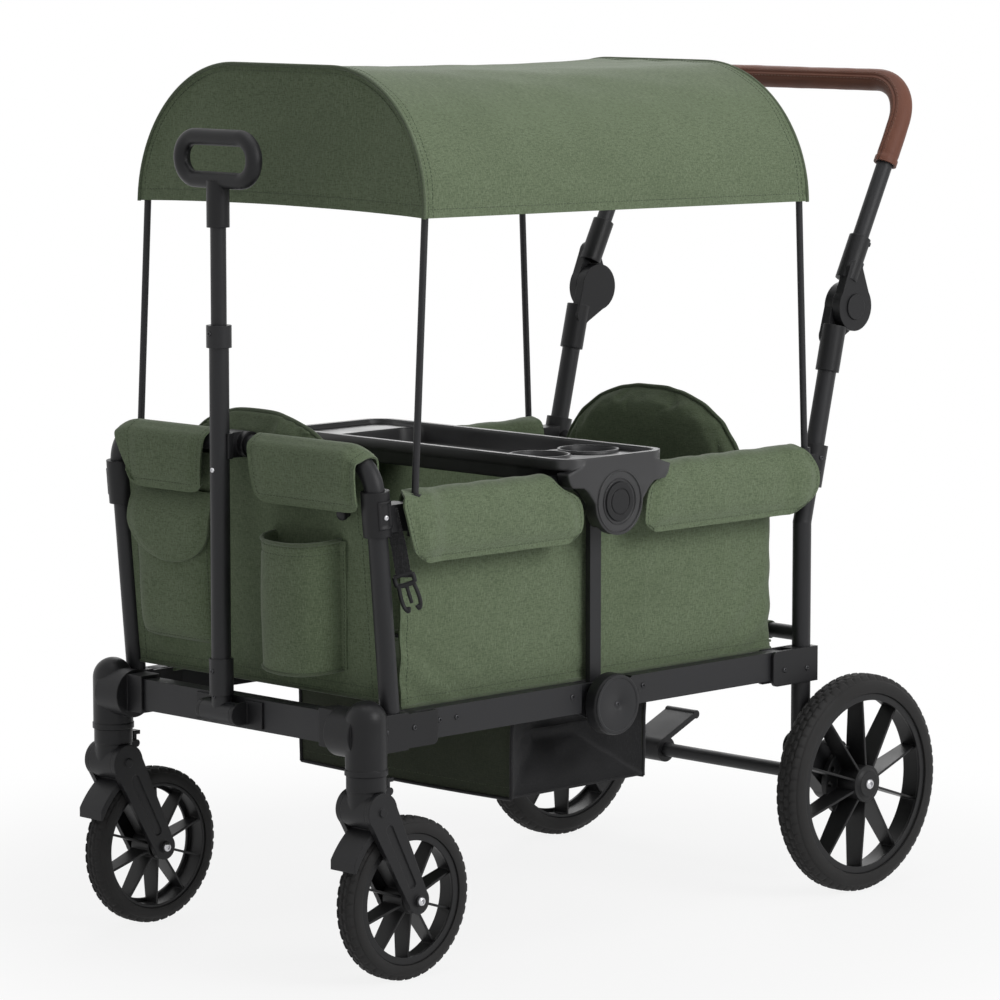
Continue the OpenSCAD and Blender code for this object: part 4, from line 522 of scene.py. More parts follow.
class Piece:
    """Gathers the cloth, cords, stitches and turned parts of one piece, in millimetres."""

    def __init__(self, name):
        self.name = name
        self.points, self.faces, self.worn, self.finishes = [], [], [], []

    def add(self, points, faces, finish):
        base = len(self.points)
        if finish not in self.finishes:
            self.finishes.append(finish)
        self.points.extend(tuple(float(c) for c in p) for p in np.asarray(points, float).reshape(-1, 3))
        self.faces.extend(tuple(base + int(i) for i in f) for f in faces)
        self.worn.extend([self.finishes.index(finish)] * len(faces))

    def cloth(self, grid, finish, thick, loop=False):
        """A grid of points with a second layer behind it and closed edges."""
        rows, columns = grid.shape[:2]
        back = grid - normals_of(grid, loop) * thick
        count = rows * columns
        at = np.arange(count).reshape(rows, columns)
        faces = []
        last = columns if loop else columns - 1
        for i in range(rows - 1):
            for j in range(last):
                k = (j + 1) % columns
                a, b, c, d = at[i, j], at[i, k], at[i + 1, k], at[i + 1, j]
                faces.append((a, b, c, d))
                faces.append((d + count, c + count, b + count, a + count))
        for j in range(last):
            k = (j + 1) % columns
            faces.append((at[0, k], at[0, j], at[0, j] + count, at[0, k] + count))
            faces.append((at[-1, j], at[-1, k], at[-1, k] + count, at[-1, j] + count))
        if not loop:
            for i in range(rows - 1):
                faces.append((at[i, 0], at[i + 1, 0], at[i + 1, 0] + count, at[i, 0] + count))
                faces.append((at[i + 1, -1], at[i, -1], at[i, -1] + count, at[i + 1, -1] + count))
        self.add(np.concatenate([grid.reshape(-1, 3), back.reshape(-1, 3)]), faces, finish)

    def cord(self, path, radius, finish, sides=8, loop=False):
        """A round cord along a path, capped at its ends."""
        path = np.asarray(path, float)
        if loop:
            run = np.roll(path, -1, 0) - np.roll(path, 1, 0)
        else:
            run = np.gradient(path, axis=0)
        run /= np.maximum(np.linalg.norm(run, axis=1, keepdims=True), 1e-9)
        # Any direction off the path serves to start the first ring
        side = np.cross(run[0], (0.31, 0.2, 0.93))
        turns = np.linspace(0, 2 * math.pi, sides, endpoint=False)
        rings = []
        for at, ahead in zip(path, run):
            side = side - ahead * side.dot(ahead)
            side /= np.linalg.norm(side)
            other = np.cross(ahead, side)
            rings.append([at + radius * (math.cos(t) * side + math.sin(t) * other) for t in turns])
        faces = ring_faces(len(path), sides, loop)
        if not loop:
            faces.extend(end_faces(len(path), sides))
        self.add(np.array(rings), faces, finish)

    def stitches(self, path, outward, finish, pitch=5.4, length=3.8, width=1.1, proud=0.45):
        """A row of thread stitches along a path, lying on a surface that faces outward."""
        path, outward = np.asarray(path, float), np.asarray(outward, float)
        total = lengths_of(path)[-1]
        count = max(1, int(total / pitch))
        for k in range(count):
            shares = (np.array([k, k + length / pitch]) + 0.12) / count
            ends = along(path, shares)
            face = along(outward, [float(np.mean(shares))])[0]
            face = face / max(np.linalg.norm(face), 1e-9)
            run = ends[1] - ends[0]
            run /= max(np.linalg.norm(run), 1e-9)
            side = np.cross(face, run) * width / 2
            low, top = ends - face * 0.25, ends + face * proud
            inset = run * 0.5
            points = [low[0] - side, low[1] - side, low[1] + side, low[0] + side,
                      top[0] - side * 0.6 + inset, top[1] - side * 0.6 - inset,
                      top[1] + side * 0.6 - inset, top[0] + side * 0.6 + inset]
            faces = [(3, 2, 1, 0), (4, 5, 6, 7), (0, 1, 5, 4), (1, 2, 6, 5), (2, 3, 7, 6), (3, 0, 4, 7)]
            self.add(points, faces, finish)

    def sew(self, grid, rows=(), columns=()):
        """Stitches along rows and columns of a sheet's outer layer. Gives the layer's normals."""
        out = normals_of(grid)
        for k in rows:
            self.stitches(grid[k], out[k], THREAD)
        for k in columns:
            self.stitches(grid[:, k], out[:, k], THREAD)
        return out

    def turned(self, at, axis, profile, finish, sides=24):
        """A turned part: radius and height pairs about an axis, from its back to its middle front."""
        at, axis = np.asarray(at, float), np.asarray(axis, float)
        axis = axis / np.linalg.norm(axis)
        # Any direction off the axis serves to start the rings
        side = np.cross(axis, (0.2, 0.31, 0.93))
        side /= np.linalg.norm(side)
        other = np.cross(axis, side)
        turns = np.linspace(0, 2 * math.pi, sides, endpoint=False)
        rounds = [math.cos(t) * side + math.sin(t) * other for t in turns]
        rings = [[at + axis * h + r * spoke for spoke in rounds] for r, h in profile]
        back, front = end_faces(len(profile), sides)
        self.add(np.array(rings), [back, *ring_faces(len(profile), sides), front], finish)

    def make(self, body, slot, sharp=50.0):
        """Turns what was gathered into an object that rides on a body."""
        mesh = bpy.data.meshes.new(self.name)
        mesh.from_pydata([tuple(c * MM for c in p) for p in self.points], [], self.faces)
        for finish in self.finishes:
            mesh.materials.append(finish)
        mesh.polygons.foreach_set("material_index", self.worn)
        work = bmesh.new()
        work.from_mesh(mesh)
        bmesh.ops.recalc_face_normals(work, faces=work.faces)
        work.to_mesh(mesh)
        work.free()
        mesh.polygons.foreach_set("use_smooth", [True] * len(mesh.polygons))
        mesh.set_sharp_from_angle(angle=math.radians(sharp))
        obj = bpy.data.objects.new(self.name, mesh)
        scene.collection.objects.link(obj)
        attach(obj, body)
        return obj


def folds_with_frame(obj):
    """Gives the piece its own copy of its mesh."""
    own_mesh(obj)


# Canopy

def canopy_front_y(z):
    return FRONT_POLE_Y + (z - SOCKET_Z) * math.tan(FRONT_POLE_LEAN) - CLOTH_OFF_POLE


def canopy_rear_y(z):
    return REAR_POLE_Y - (z - SOCKET_Z) * math.tan(REAR_POLE_LEAN) + CLOTH_OFF_POLE


def canopy_arch(count, grow=0.0):
    """Arch of the canopy from one hem over the top to the other, as x and z."""
    straight, flat = CANOPY_Z - CANOPY_R, CANOPY_HALF - CANOPY_R
    rise = [(CANOPY_HALF, z) for z in np.linspace(HEM_Z, straight, 4)[:-1]]
    whole = both_halves(rise + quarter_turn(flat, straight, CANOPY_R, 40), count)
    return whole + outward_of(whole) * grow


def sloped(points):
    """The canopy falls a little from its front bow to its rear one."""
    points = np.array(points, float)
    points[..., 2] -= (points[..., 1] - CANOPY_FALLS_FROM) * math.tan(CANOPY_FALL)
    return points


def canopy_roof(made, arch):
    """The cloth over both bows: slack between them, drawn tight at its seams and hemmed at its sides."""
    rows, about_long = 96, 700.0
    run = lengths_of(arch)
    t = column(0, 1, rows)
    x, z = arch[None, :, 0], arch[None, :, 1]
    front, rear = canopy_front_y(z), canopy_rear_y(z)
    grid = laid(x, front * (1 - t) + rear * t, z)
    out = normals_of(grid)
    share = np.abs(2 * run / run[-1] - 1)[None, :]
    y = grid[..., 1]
    from_end = np.minimum(y - front, rear - y)
    slack = (4 * t * (1 - t)) ** 0.7
    sag = slack * (5.0 * (1 - share**2.5) + 2.5)
    gather = np.sin(run[None, :] / 13.0 + 1.1 * np.sin(run[None, :] / 61.0))
    pull = np.exp(-from_end / 55.0) * 1.5 * gather
    wave = 1.1 * ripple(y * 0.5, run[None, :], 11) * slack
    seam = 0.9 * dip(from_end - CANOPY_SEAM, 2.2) + 0.7 * dip(z - HEM_Z - CANOPY_HEM, 2.2)
    puckers = (pull * np.minimum(from_end / CANOPY_SEAM, 1) + wave) * 0.8
    grid = sloped(grid - out * (sag + seam)[..., None] + out * puckers[..., None])
    made.cloth(grid, SAGE, 2.4)
    depth = np.linspace(0, 1, rows) * about_long
    insets = (CANOPY_SEAM, CANOPY_SEAM + 5.5)
    seams = [nearest(depth, at) for inset in insets for at in (inset, about_long - inset)]
    hem = nearest(run, CANOPY_HEM)
    made.sew(grid, seams, (hem, len(arch) - 1 - hem))


def canopy_end(made, arch, edge_y, face):
    """The upright wall at one end, with piping round it and a seam inside its edge."""
    s = row(-1, 1, 61)
    v = column(0, 1, 46)
    level = HEM_Z + (v**0.8) * (CANOPY_Z - HEM_Z - 0.5)
    climb = np.clip((level - (CANOPY_Z - CANOPY_R)) / CANOPY_R, 0, 1)
    half = CANOPY_HALF - CANOPY_R + CANOPY_R * np.sqrt(1 - climb**2) - 0.8
    px = s * half
    hollow = (1 - s**2) * (1 - v) * 5.0
    pz = level + hollow * (1 - v)
    edge = np.minimum(half - np.abs(px), CANOPY_Z - level)
    crease = 1.3 * ripple(px * 0.6, pz, 5 + face) * np.minimum(edge / 30.0, 1)
    sunk = 2.6 * np.minimum(edge / 40.0, 1) + 0.8 * dip(level - HEM_Z - CANOPY_HEM, 2.5)
    wall = sloped(laid(px, edge_y(level) - face * sunk + crease, pz))
    if face > 0:
        wall = wall[:, ::-1]
    made.cloth(wall, SAGE, 2.2)
    made.sew(wall, [nearest(level[:, 0] - HEM_Z, CANOPY_HEM)])
    rim = np.stack([arch[:, 0] * 0.998, edge_y(arch[:, 1]) + face * 0.6, arch[:, 1] - 0.8], -1)
    made.cord(sloped(rim), 2.5, PIPING)
    inner = canopy_arch(len(arch), -CANOPY_SEAM)
    seat = np.stack([inner[:, 0], edge_y(inner[:, 1]) - face * 0.5, inner[:, 1]], -1)
    made.stitches(sloped(seat)[4:-4], np.tile((0.0, float(face), 0.0), (len(arch) - 8, 1)), THREAD)


def make_canopy():
    made = Piece("canopy_cloth")
    arch = canopy_arch(141)[::-1]
    canopy_roof(made, arch)
    canopy_end(made, arch, canopy_front_y, -1)
    canopy_end(made, arch, canopy_rear_y, 1)
    obj = made.make("canopy_rear", "sage_fabric")
    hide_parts("canopy_cover")
    folds_with_frame(obj)


# Tub and footwell

def tub_path(count):
    """Line of the walls from one front edge round the rear to the other, as x and y."""
    corner = 20.0
    bend = quarter_turn(TUB_HALF - corner, TUB_BACK - corner, corner, 9)
    return both_halves([(TUB_HALF, TUB_FRONT), (TUB_HALF, TUB_BACK - corner)] + bend[1:], count)


def tub_walls(made):
    """Side and rear walls: slack between the posts, creased at the low corners, sewn along hem and ends."""
    hem_in, end_in = 13.0, 14.0
    around, up = 321, 42
    path = tub_path(around)
    run = lengths_of(path)
    low = TUB_LOW - 8.0
    z = column(low, TUB_HIGH, up)
    x, y = path[None, :, 0], path[None, :, 1]
    grid = laid(x, y, z)
    out = normals_of(grid)
    height = (z - low) / (TUB_HIGH - low)
    side = np.clip((np.abs(x) - 200.0) / 12.0, 0, 1)
    from_mid = np.abs(y - MID_Y)
    from_end = np.minimum(np.abs(y - TUB_FRONT), np.abs(y - TUB_BACK))
    room = np.clip((from_mid - 22.0) / 70.0, 0, 1) * np.clip(from_end / 90.0, 0, 1)
    swell = 5.0 * side * room * np.sin(math.pi * np.clip(height, 0, 1)) ** 0.8
    rear = 3.0 * (1 - side) * np.sin(math.pi * height) * (1 - (x / TUB_HALF) ** 4)
    low_corner = np.exp(-((from_end / 120.0) ** 2)) * np.exp(-((height / 0.45) ** 2))
    mid_corner = np.exp(-((from_mid / 60.0) ** 2)) * np.exp(-((height / 0.4) ** 2))
    crease = (2.0 * low_corner + 1.2 * mid_corner) * np.sin((from_end + 1.3 * (z - low)) / 11.0) * side
    wave = 1.0 * ripple(run[None, :], z * 1.4, 23) * np.sin(math.pi * height)
    sewn = 0.8 * dip(z - low - hem_in, 2.4) + 0.8 * dip(from_end - end_in, 2.4) * side
    push = np.minimum(swell + rear + crease + wave * (0.35 + 0.65 * room), 6.0) - sewn
    grid = grid + out * push[..., None]
    made.cloth(grid, SAGE, 3.0)
    hem = int(round(hem_in / (TUB_HIGH - low) * (up - 1)))
    end = nearest(run, end_in)
    out = made.sew(grid, (hem, -3), (end, around - 1 - end))
    made.cord(grid[0] + out[0] * 0.4 + (0, 0, 1.4), 2.4, PIPING)


def tub_floor(made):
    """Four floor panels round the footwell's opening."""
    lap, wall, step = 4, 3.5, 14
    well_x, well_front, well_back = WELL_HALF - lap, MID_Y - WELL_REACH + lap, MID_Y + WELL_REACH - lap
    inside = TUB_HALF - wall
    panels = ((-inside, inside, TUB_FRONT, well_front), (-inside, inside, well_back, TUB_BACK - wall),
              (-inside, -well_x, well_front, well_back), (well_x, inside, well_front, well_back))
    for x0, x1, y0, y1 in panels:
        fx = row(x0, x1, max(3, int((x1 - x0) / step)))
        fy = column(y0, y1, max(3, int((y1 - y0) / step)))
        made.cloth(laid(fx, fy, TUB_FLOOR + 0.6 * ripple(fx, fy, 31)), DEEP, 3.0)


def tub_loops(made):
    """Two bands that hold the tub's rear edge to the lower cross tube."""
    round_tube = [(281.5, 357.0), (292.0, 362.0), (304.57, 366.2), (313.2, 362.6), (316.7, 354.0),
                  (313.2, 345.4), (304.57, 341.8), (292.0, 347.0), (281.5, 352.0)]
    line = curved(round_tube, 36)
    for sx in (-1, 1):
        lx = column(115.0, 185.0, 12) * sx
        band = laid(lx, line[None, :, 0], line[None, :, 1])
        if sx > 0:
            band = band[::-1]
        made.cloth(band, DEEP, 1.6)


def make_tub():
    made = Piece("tub_cloth")
    tub_walls(made)
    tub_floor(made)
    tub_loops(made)
    obj = made.make("rear_frame", "sage_fabric")
    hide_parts("tub")
    folds_with_frame(obj)


def make_footwell():
    """Front and rear walls, a floor and gusseted sides that tuck inward."""
    made = Piece("footwell_cloth")
    top = TUB_LOW - 0.6
    for face in (-1, 1):
        s = row(-1, 1, 49)
        v = column(0, 1, 22)
        wx = s * (WELL_HALF - 1.0) * (1 - 0.012 * (1 - v))
        wz = WELL_LOW + v * (top - WELL_LOW) - 2.0 * (1 - s**2) * (1 - v)
        belly = np.sin(math.pi * v)
        soft = 3.0 * (1 - s**4) * belly + 1.1 * ripple(wx, wz, 41 + face) * belly
        wy = MID_Y + face * (WELL_REACH - 3.0 + soft - 0.9 * dip(v - 0.07, 0.02) - 0.9 * dip(v - 0.93, 0.02))
        wall = laid(wx, wy, wz)
        if face > 0:
            wall = wall[:, ::-1]
        made.cloth(wall, WELL, 2.4)
        out = made.sew(wall, (2, 19))
        for edge in (0, -1):
            made.cord(wall[:, edge] + out[:, edge] * 0.5, 2.6, NYLON)
        made.cord(wall[0] + out[0] * 0.3, 2.4, NYLON)
    s = row(-1, 1, 33)
    v = column(-1, 1, 25)
    base_z = WELL_LOW + 3.4 - 2.0 * (1 - s**2) * (1 - v**2)
    made.cloth(laid(s * (WELL_HALF - 3), MID_Y + v * (WELL_REACH - 4), base_z), NYLON, 3.0)
    for sx in (-1, 1):
        u = row(0, 1, 57)
        v = column(0, 1, 41)
        to_edge = np.minimum(np.minimum(u, 1 - u) * 1.5, np.minimum(v, 1 - v) * 1.25) * 2
        tuck = 46.0 * np.clip(to_edge, 0, 1) ** 0.92
        gy = MID_Y + (2 * u - 1) * (WELL_REACH - 4.5)
        gz = WELL_LOW + 2.0 + v * (top - WELL_LOW - 2.5)
        tuck = tuck + 2.0 * ripple(gy * 1.2, gz * 1.2, 47) * np.clip(to_edge * 2, 0, 1)
        tuck = tuck - 5.0 * dip(v - 0.5, 0.02) * np.clip(to_edge - 0.3, 0, 1)
        gx = sx * (WELL_HALF - 2.5 - np.maximum(tuck, 0))
        gusset = laid(gx, gy, gz)
        if sx < 0:
            gusset = gusset[:, ::-1]
        made.cloth(gusset, NYLON, 1.4)
    obj = made.make("rear_frame", "well_fabric")
    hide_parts("footwell")
    folds_with_frame(obj)


# Front panel, pockets and flaps

def make_front_panel():
    """The panel between the front posts, narrower between the collars and round at its top corners."""
    made = Piece("front_panel_cloth")
    low, high, rows, first_seam, second_seam = 12.0, 301.0, 54, 20.0, 26.0
    collar_z, wide, narrow = 221.0, 227.2, 221.6
    bend_x, bend_z, bend = 195.0, 273.2, 32.4
    s = row(-1, 1, 73)
    z = column(low, high, rows)
    half = np.where(z > collar_z, narrow, wide)
    climb = np.clip((z - bend_z) / bend, 0, 0.995)
    half = np.minimum(half, bend_x + bend * np.sqrt(1 - climb**2))
    px = s * half
    edge = np.minimum(half - np.abs(px), np.minimum(z - low, high - z))
    soft = 2.4 * np.clip(edge / 60.0, 0, 1) + 1.2 * ripple(px, z, 53) * np.clip(edge / 40.0, 0, 1)
    py = -2.0 - soft + 0.9 * dip(z - second_seam, 2.6) + 0.9 * dip(z - first_seam, 2.2)
    grid = leaned(laid(px, py, z))
    made.cloth(grid, SAGE, 3.0)
    seams = [int(round((at - low) / (high - low) * (rows - 1))) for at in (first_seam, second_seam)]
    made.sew(grid, seams, (2, -3))
    made.cord(grid[0] + (0, 0, 1.5), 2.2, PIPING)
    obj = made.make("front_frame", "sage_fabric")
    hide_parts("front_panel")


def cup_pocket(made):
    """An open pocket that stands out from the panel and leans to the left, with a sewn strip at each side."""
    half, low, high, deep = 60.0, 46.0, 213.0, 52.0
    foot_x, leans, rows, mouth_seam = 104.0, 14.0, 34, 15.0
    turns = np.linspace(math.pi, 0, 181)
    bulge = np.stack([half * np.sign(np.cos(turns)) * np.abs(np.cos(turns)) ** 0.7,
                      -4.0 - (deep - 4.0) * np.sin(turns).clip(0) ** 0.8], -1)
    line = along(bulge, np.linspace(0, 1, 97))
    run = lengths_of(line)
    v = column(0, 1, rows)
    lx, ly = line[None, :, 0], line[None, :, 1]
    narrowing = 0.03 * (1 - v) ** 2
    front = np.clip(-ly / deep, 0, 1)
    inner = 1 - (lx / half) ** 2
    px = foot_x + leans * v + lx * (1 + narrowing)
    pz = low + v * (high - low) - 4.0 * inner * (1 - v) - 2.5 * inner * v**3
    grid = laid(px, ly * (1 - narrowing), pz)
    out = normals_of(grid)
    belly = np.sin(math.pi * v)
    puff = 2.6 * belly * front + 0.9 * ripple(run[None, :], pz, 61) * belly
    puff = puff - 1.0 * dip((1 - v) * (high - low) - mouth_seam, 2.4)
    grid = grid + out * puff[..., None]
    pocket = leaned(grid)
    made.cloth(pocket, SAGE, 2.6)
    made.sew(pocket, [int(round((1 - inset / (high - low)) * (rows - 1))) for inset in (4.0, mouth_seam)])
    for sx, sewn in ((-1, 2), (1, -3)):
        fz = column(low + 2.0, high - 2.0, 30)
        beside = sx * np.linspace(half - 4.0, half + 10.0, 9)[None, ::sx]
        fx = foot_x + leans * (fz - low) / (high - low) + beside
        strip = leaned(laid(fx, -6.6 + 0.5 * np.sin(fz / 17.0), fz))
        made.cloth(strip, SAGE, 2.2)
        made.sew(strip, columns=[sewn])
    made.cord(leaned(grid[0] + (0, 0, 1.5)), 2.2, PIPING)
    made.cord(leaned(grid[-1] - (0, 0, 0.6)), 2.4, PIPING)
    bx, by = line[None, 6:-6, 0], line[None, 6:-6, 1]
    w = column(0.97, 0.03, 15)
    base = laid(foot_x + bx * 0.95, by * 0.9 * w, low + 2.5 - 4.0 * (1 - (bx / half) ** 2))
    made.cloth(leaned(base), SAGE, 2.0)


def bag_pocket(made):
    """A filled flat pocket under the lid."""
    middle, wide, low, high = -134.0, 75.0, 52.0, 222.0
    s = row(-1, 1, 45)
    v = column(-1, 1, 45)
    inward = 1 - 0.05 * np.abs(s) ** 6 * np.abs(v) ** 6
    bx = middle + s * wide * inward * (1 - 0.02 * (1 - v**2))
    bz = (low + high) / 2 + v * (high - low) / 2 * inward
    round_off = (1 - np.abs(s) ** 5) * (1 - np.abs(v) ** 5)
    fill = (18.0 - 5.0 * v) * round_off**0.6 + 1.2 * ripple(bx, bz, 67) * round_off
    bag = leaned(laid(bx, -4.2 - fill, bz))
    made.cloth(bag, SAGE, 2.2)
    made.sew(bag, columns=(2, -3))
    made.sew(bag, rows=(2,))


def bag_lid(made):
    """A half-round lid folded down over the flat pocket, piped round its edge."""
    middle, half, hinge_z, drop, straight_z, bow = -127.0, 78.0, 250.0, 89.0, 212.0, 51.2
    s = row(-1, 1, 49)
    v = column(0, 1, 34)
    fz = hinge_z - drop * np.sin(v * math.pi / 2)
    rounded = half * np.sqrt(np.clip(1 - ((straight_z - fz) / bow) ** 2, 0.0016, 1))
    reach = np.where(fz > straight_z, half, rounded)
    over = np.sin(np.clip((hinge_z - fz) / 46.0, 0, 1) * math.pi / 2)
    fy = -5.5 - 20.5 * over * (1 - 0.16 * s**4)
    edge = np.minimum(reach * (1 - np.abs(s)), fz - 160.5)
    fy = fy - 2.0 * np.clip(edge / 20.0, 0, 1) + 0.9 * dip(edge - 8.0, 2.0)
    lid = leaned(laid(middle + s * reach, fy, fz))
    made.cloth(lid, SAGE, 2.6)
    out = normals_of(lid)
    down = np.arange(1, 31)
    inside_edge = np.concatenate([down, down[::-1]]), np.repeat([4, 44], len(down))
    made.stitches(lid[inside_edge], out[inside_edge], THREAD)
    made.sew(lid, rows=(1,))
    rim = np.vstack([lid[:, 0], lid[-1], lid[::-1, -1]])
    made.cord(along(rim, np.linspace(0, 1, 140)) - (0, 0.4, 0), 1.9, PIPING)


def make_pockets():
    made = Piece("front_pockets_cloth")
    cup_pocket(made)
    bag_pocket(made)
    bag_lid(made)
    obj = made.make("front_frame", "sage_fabric")
    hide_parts("front_pockets")


def hoop_flap(made, mirror, from_x, last_turn, lead_shift, tail_shift):
    """A padded flap rolled over the front hoop, from a place on its straight to a turn of its bend."""
    straight = FRAME_HALF - HOOP_R
    stations = [(x, HOOP_TOP, 0.0) for x in np.linspace(from_x, straight, 22)]
    for a in np.radians(np.linspace(2, last_turn, 14)):
        stations.append((straight + HOOP_R * math.sin(a), HOOP_TOP - HOOP_R + HOOP_R * math.cos(a), a))
    skirt, back_skirt, over_tube, hem_in = 66.0, 34.0, 3.8, 9.0
    ridge, face = POST_D / 2 + over_tube, COLLAR_D / 2 + over_tube
    rows = []
    for k, (x, z, a) in enumerate(stations):
        tilt, c = math.sin(a), math.cos(a)
        share = k / (len(stations) - 1)
        shift = lead_shift * (1 - share) ** 2 + tail_shift * share**3
        foot = HOOP_TOP - skirt
        line = [(x + ridge * tilt * 0.4 + shift, -face - 1, foot),
                (x + ridge * tilt * 0.4 + shift * 0.75, -face - 3.5, foot + (z - foot) * 0.3),
                (x + ridge * tilt * 0.45 + shift * 0.35, -face - 3.0, foot + (z - foot) * 0.7),
                (x + ridge * tilt * 0.55, -face + 0.6, z + 4.0),
                (x + ridge * tilt * 0.9, -ridge * 0.72, z + ridge * 0.76 * c),
                (x + ridge * tilt, 0.0, z + ridge * c),
                (x + ridge * tilt * 0.9, ridge * 0.76, z + ridge * 0.76 * c),
                (x + ridge * tilt * 0.5, face - 2.0, z + 2.0),
                (x + ridge * tilt * 0.4, face - 2.0, z - back_skirt * c)]
        rows.append(curved(line, 44))
    grid = np.array(rows).transpose(1, 0, 2)
    depth = lengths_of(grid[:, 10])[:, None]
    wide = lengths_of(grid[0])[None, :]
    edge = np.minimum(np.minimum(wide, wide[0, -1] - wide), depth)
    out = normals_of(grid)
    if out[5, 10, 1] > 0:
        grid = grid[:, ::-1]
        out = normals_of(grid)
        edge = edge[:, ::-1]
    front = np.clip((84.0 - depth) / 20.0, 0, 1)
    pad = 2.2 * np.clip((edge - 10.0) / 10.0, 0, 1) * front - 0.9 * dip(edge - hem_in, 2.0) * front
    pad = pad + 0.8 * ripple(wide, depth, 71) * front * np.clip(edge / 16.0, 0, 1)
    lift = 9.0 * np.exp(-np.minimum(wide, wide[0, -1] - wide) / 6.0) * np.exp(-depth / 7.0)
    grid = grid + out * pad[..., None]
    grid[..., 2] += lift
    grid = leaned(grid)
    if mirror:
        grid = mirrored(grid)[:, ::-1]
    made.cloth(grid, SAGE, 2.8)
    out = normals_of(grid)
    low = nearest(depth[:, 0], hem_in)
    across = lengths_of(grid[0])
    first, last = nearest(across, hem_in), nearest(across, across[-1] - hem_in)
    made.stitches(grid[low, first:last], out[low, first:last], THREAD)
    for k in (first, min(last, len(across) - 2)):
        made.stitches(grid[low:30, k], out[low:30, k], THREAD)


def make_front_flaps():
    made = Piece("front_flaps_cloth")
    hoop_flap(made, mirror=False, from_x=34.0, last_turn=40.0, lead_shift=12.0, tail_shift=4.0)
    hoop_flap(made, mirror=True, from_x=50.0, last_turn=30.0, lead_shift=8.0, tail_shift=-34.0)
    obj = made.make("front_frame", "sage_fabric")
    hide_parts("front_flaps")


def side_flap(made, start, past_start, end_line, flip_y, sx):
    """A padded flap rolled over an upper rail; past_start and end_line place its two ends over its depth."""
    top, low, hem_in, skirt_depth = 611.6, 522.0, 8.5, 84.0
    drop = top - low
    line = curved([(20.5, drop), (24.0, drop * 0.76), (25.4, drop * 0.48), (23.4, 21), (17.2, 6.4), (6, 0.4),
                   (-8, 0.4), (-17, 6.4), (-21, 20), (-22.3, drop * 0.46)], 52)
    v = column(0, 1, 61)
    out_x, down = line[None, :, 0], line[None, :, 1]
    ends = [curved(points, 120) for points in (past_start, end_line)]
    reach, end = (np.interp(down, points[:, 0], points[:, 1]) for points in ends)
    # 1 on the rail's outer side and 0 on its inner one, where the flap starts straight
    outer = np.clip((out_x + 8.0) / 16.0, 0, 1)
    outer = outer**2 * (3 - 2 * outer)
    begin = start - reach * outer
    y = begin + v * (end - begin)
    span = end - begin
    from_end = np.minimum(v, 1 - v) * span
    depth = lengths_of(line)[None, :]
    skirt = np.clip((down - 14.0) / 18.0, 0, 1) * (out_x > 0)
    edge = np.minimum(from_end, depth)
    corner = 15.0
    lift = (skirt > 0) * np.clip(1 - from_end / corner, 0, 1) ** 2.2 * 8.0 * np.exp(-depth / 22.0)
    pad = 3.4 * np.clip((edge - 9.0) / 12.0, 0, 1) * skirt - 1.0 * dip(edge - hem_in, 2.0) * skirt
    wave = 0.9 * ripple(y, depth * 1.2, int(81 + start % 7))
    pad = pad + wave * skirt * np.clip(edge / 18.0, 0, 1)
    roll = (1 - skirt) * np.clip(from_end / 8.0, 0, 1) * 0.7 * np.sin(y / 9.0 + 0.7 * np.sin(y / 31.0))
    # Near its start the outer side stands clear of the pole beside it
    by_pole = np.clip((start + 34.0 - y) / 24.0, 0, 1) * outer
    clear = by_pole * np.interp(down, (0, 1, 5, 10, 16, 22), (0, 3, 10.5, 8.5, 6.0, 5.5))
    lift = lift + 2.5 * by_pole * np.exp(-down / 8.0)
    grid = laid(FRAME_HALF + out_x + clear, y, top - down + lift)
    out = normals_of(grid)
    if out[30, 10, 0] < 0:
        out = -out
    grid = grid + out * (pad + np.minimum(roll, 0.3))[..., None]
    grid[..., 1] = MID_Y + (-grid[..., 1] if flip_y else grid[..., 1])
    if sx < 0:
        grid = mirrored(grid)
    if normals_of(grid)[30, 10, 0] * sx < 0:
        grid = grid[:, ::-1]
        depth = depth[:, ::-1]
    made.cloth(grid, SAGE, 3.0)
    out = normals_of(grid)
    low_row = nearest(depth[0], hem_in)
    rows = lengths_of(grid[:, low_row])
    first, last = nearest(rows, hem_in), nearest(rows, rows[-1] - hem_in)
    made.stitches(grid[first:last + 1, low_row], out[first:last + 1, low_row], THREAD)
    sewn = (depth[0] > 8.0) & (depth[0] < skirt_depth)
    for k in (first, last):
        made.stitches(grid[k, sewn], out[k, sewn], THREAD)


def make_side_flaps():
    """Four flaps, with the tray's ears between their ends."""
    front_start = [(0, 22), (5, 33), (14, 36), (30, 33), (50, 28), (72, 20), (84, 13), (90, 3)]
    rear_start = [(0, 0), (5, 2), (14, 14), (30, 25), (48, 28), (66, 23), (80, 10), (90, -10)]
    front_end = [(0, -108), (12, -101), (20, -91), (28, -74), (36, -65), (48, -60), (64, -57.5), (78, -58.5),
                 (85, -61.5), (90, -69)]
    rear_end = [(0, -98), (10, -94), (18, -85), (26, -70), (34, -62), (48, -58), (64, -57), (78, -58),
                (85, -61.5), (90, -70)]
    for node, body, start, past_start, end_line, flip_y in (
        ("front_side_flaps", "front_upper_rails", -339.5, front_start, front_end, False),
        ("rear_side_flaps", "rear_upper_rails", -359.5, rear_start, rear_end, True),
    ):
        made = Piece(f"{node}_cloth")
        for sx in (-1, 1):
            side_flap(made, start, past_start, end_line, flip_y, sx)
        obj = made.make(body, "sage_fabric")
        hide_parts(node)
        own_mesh(obj)


# Seats

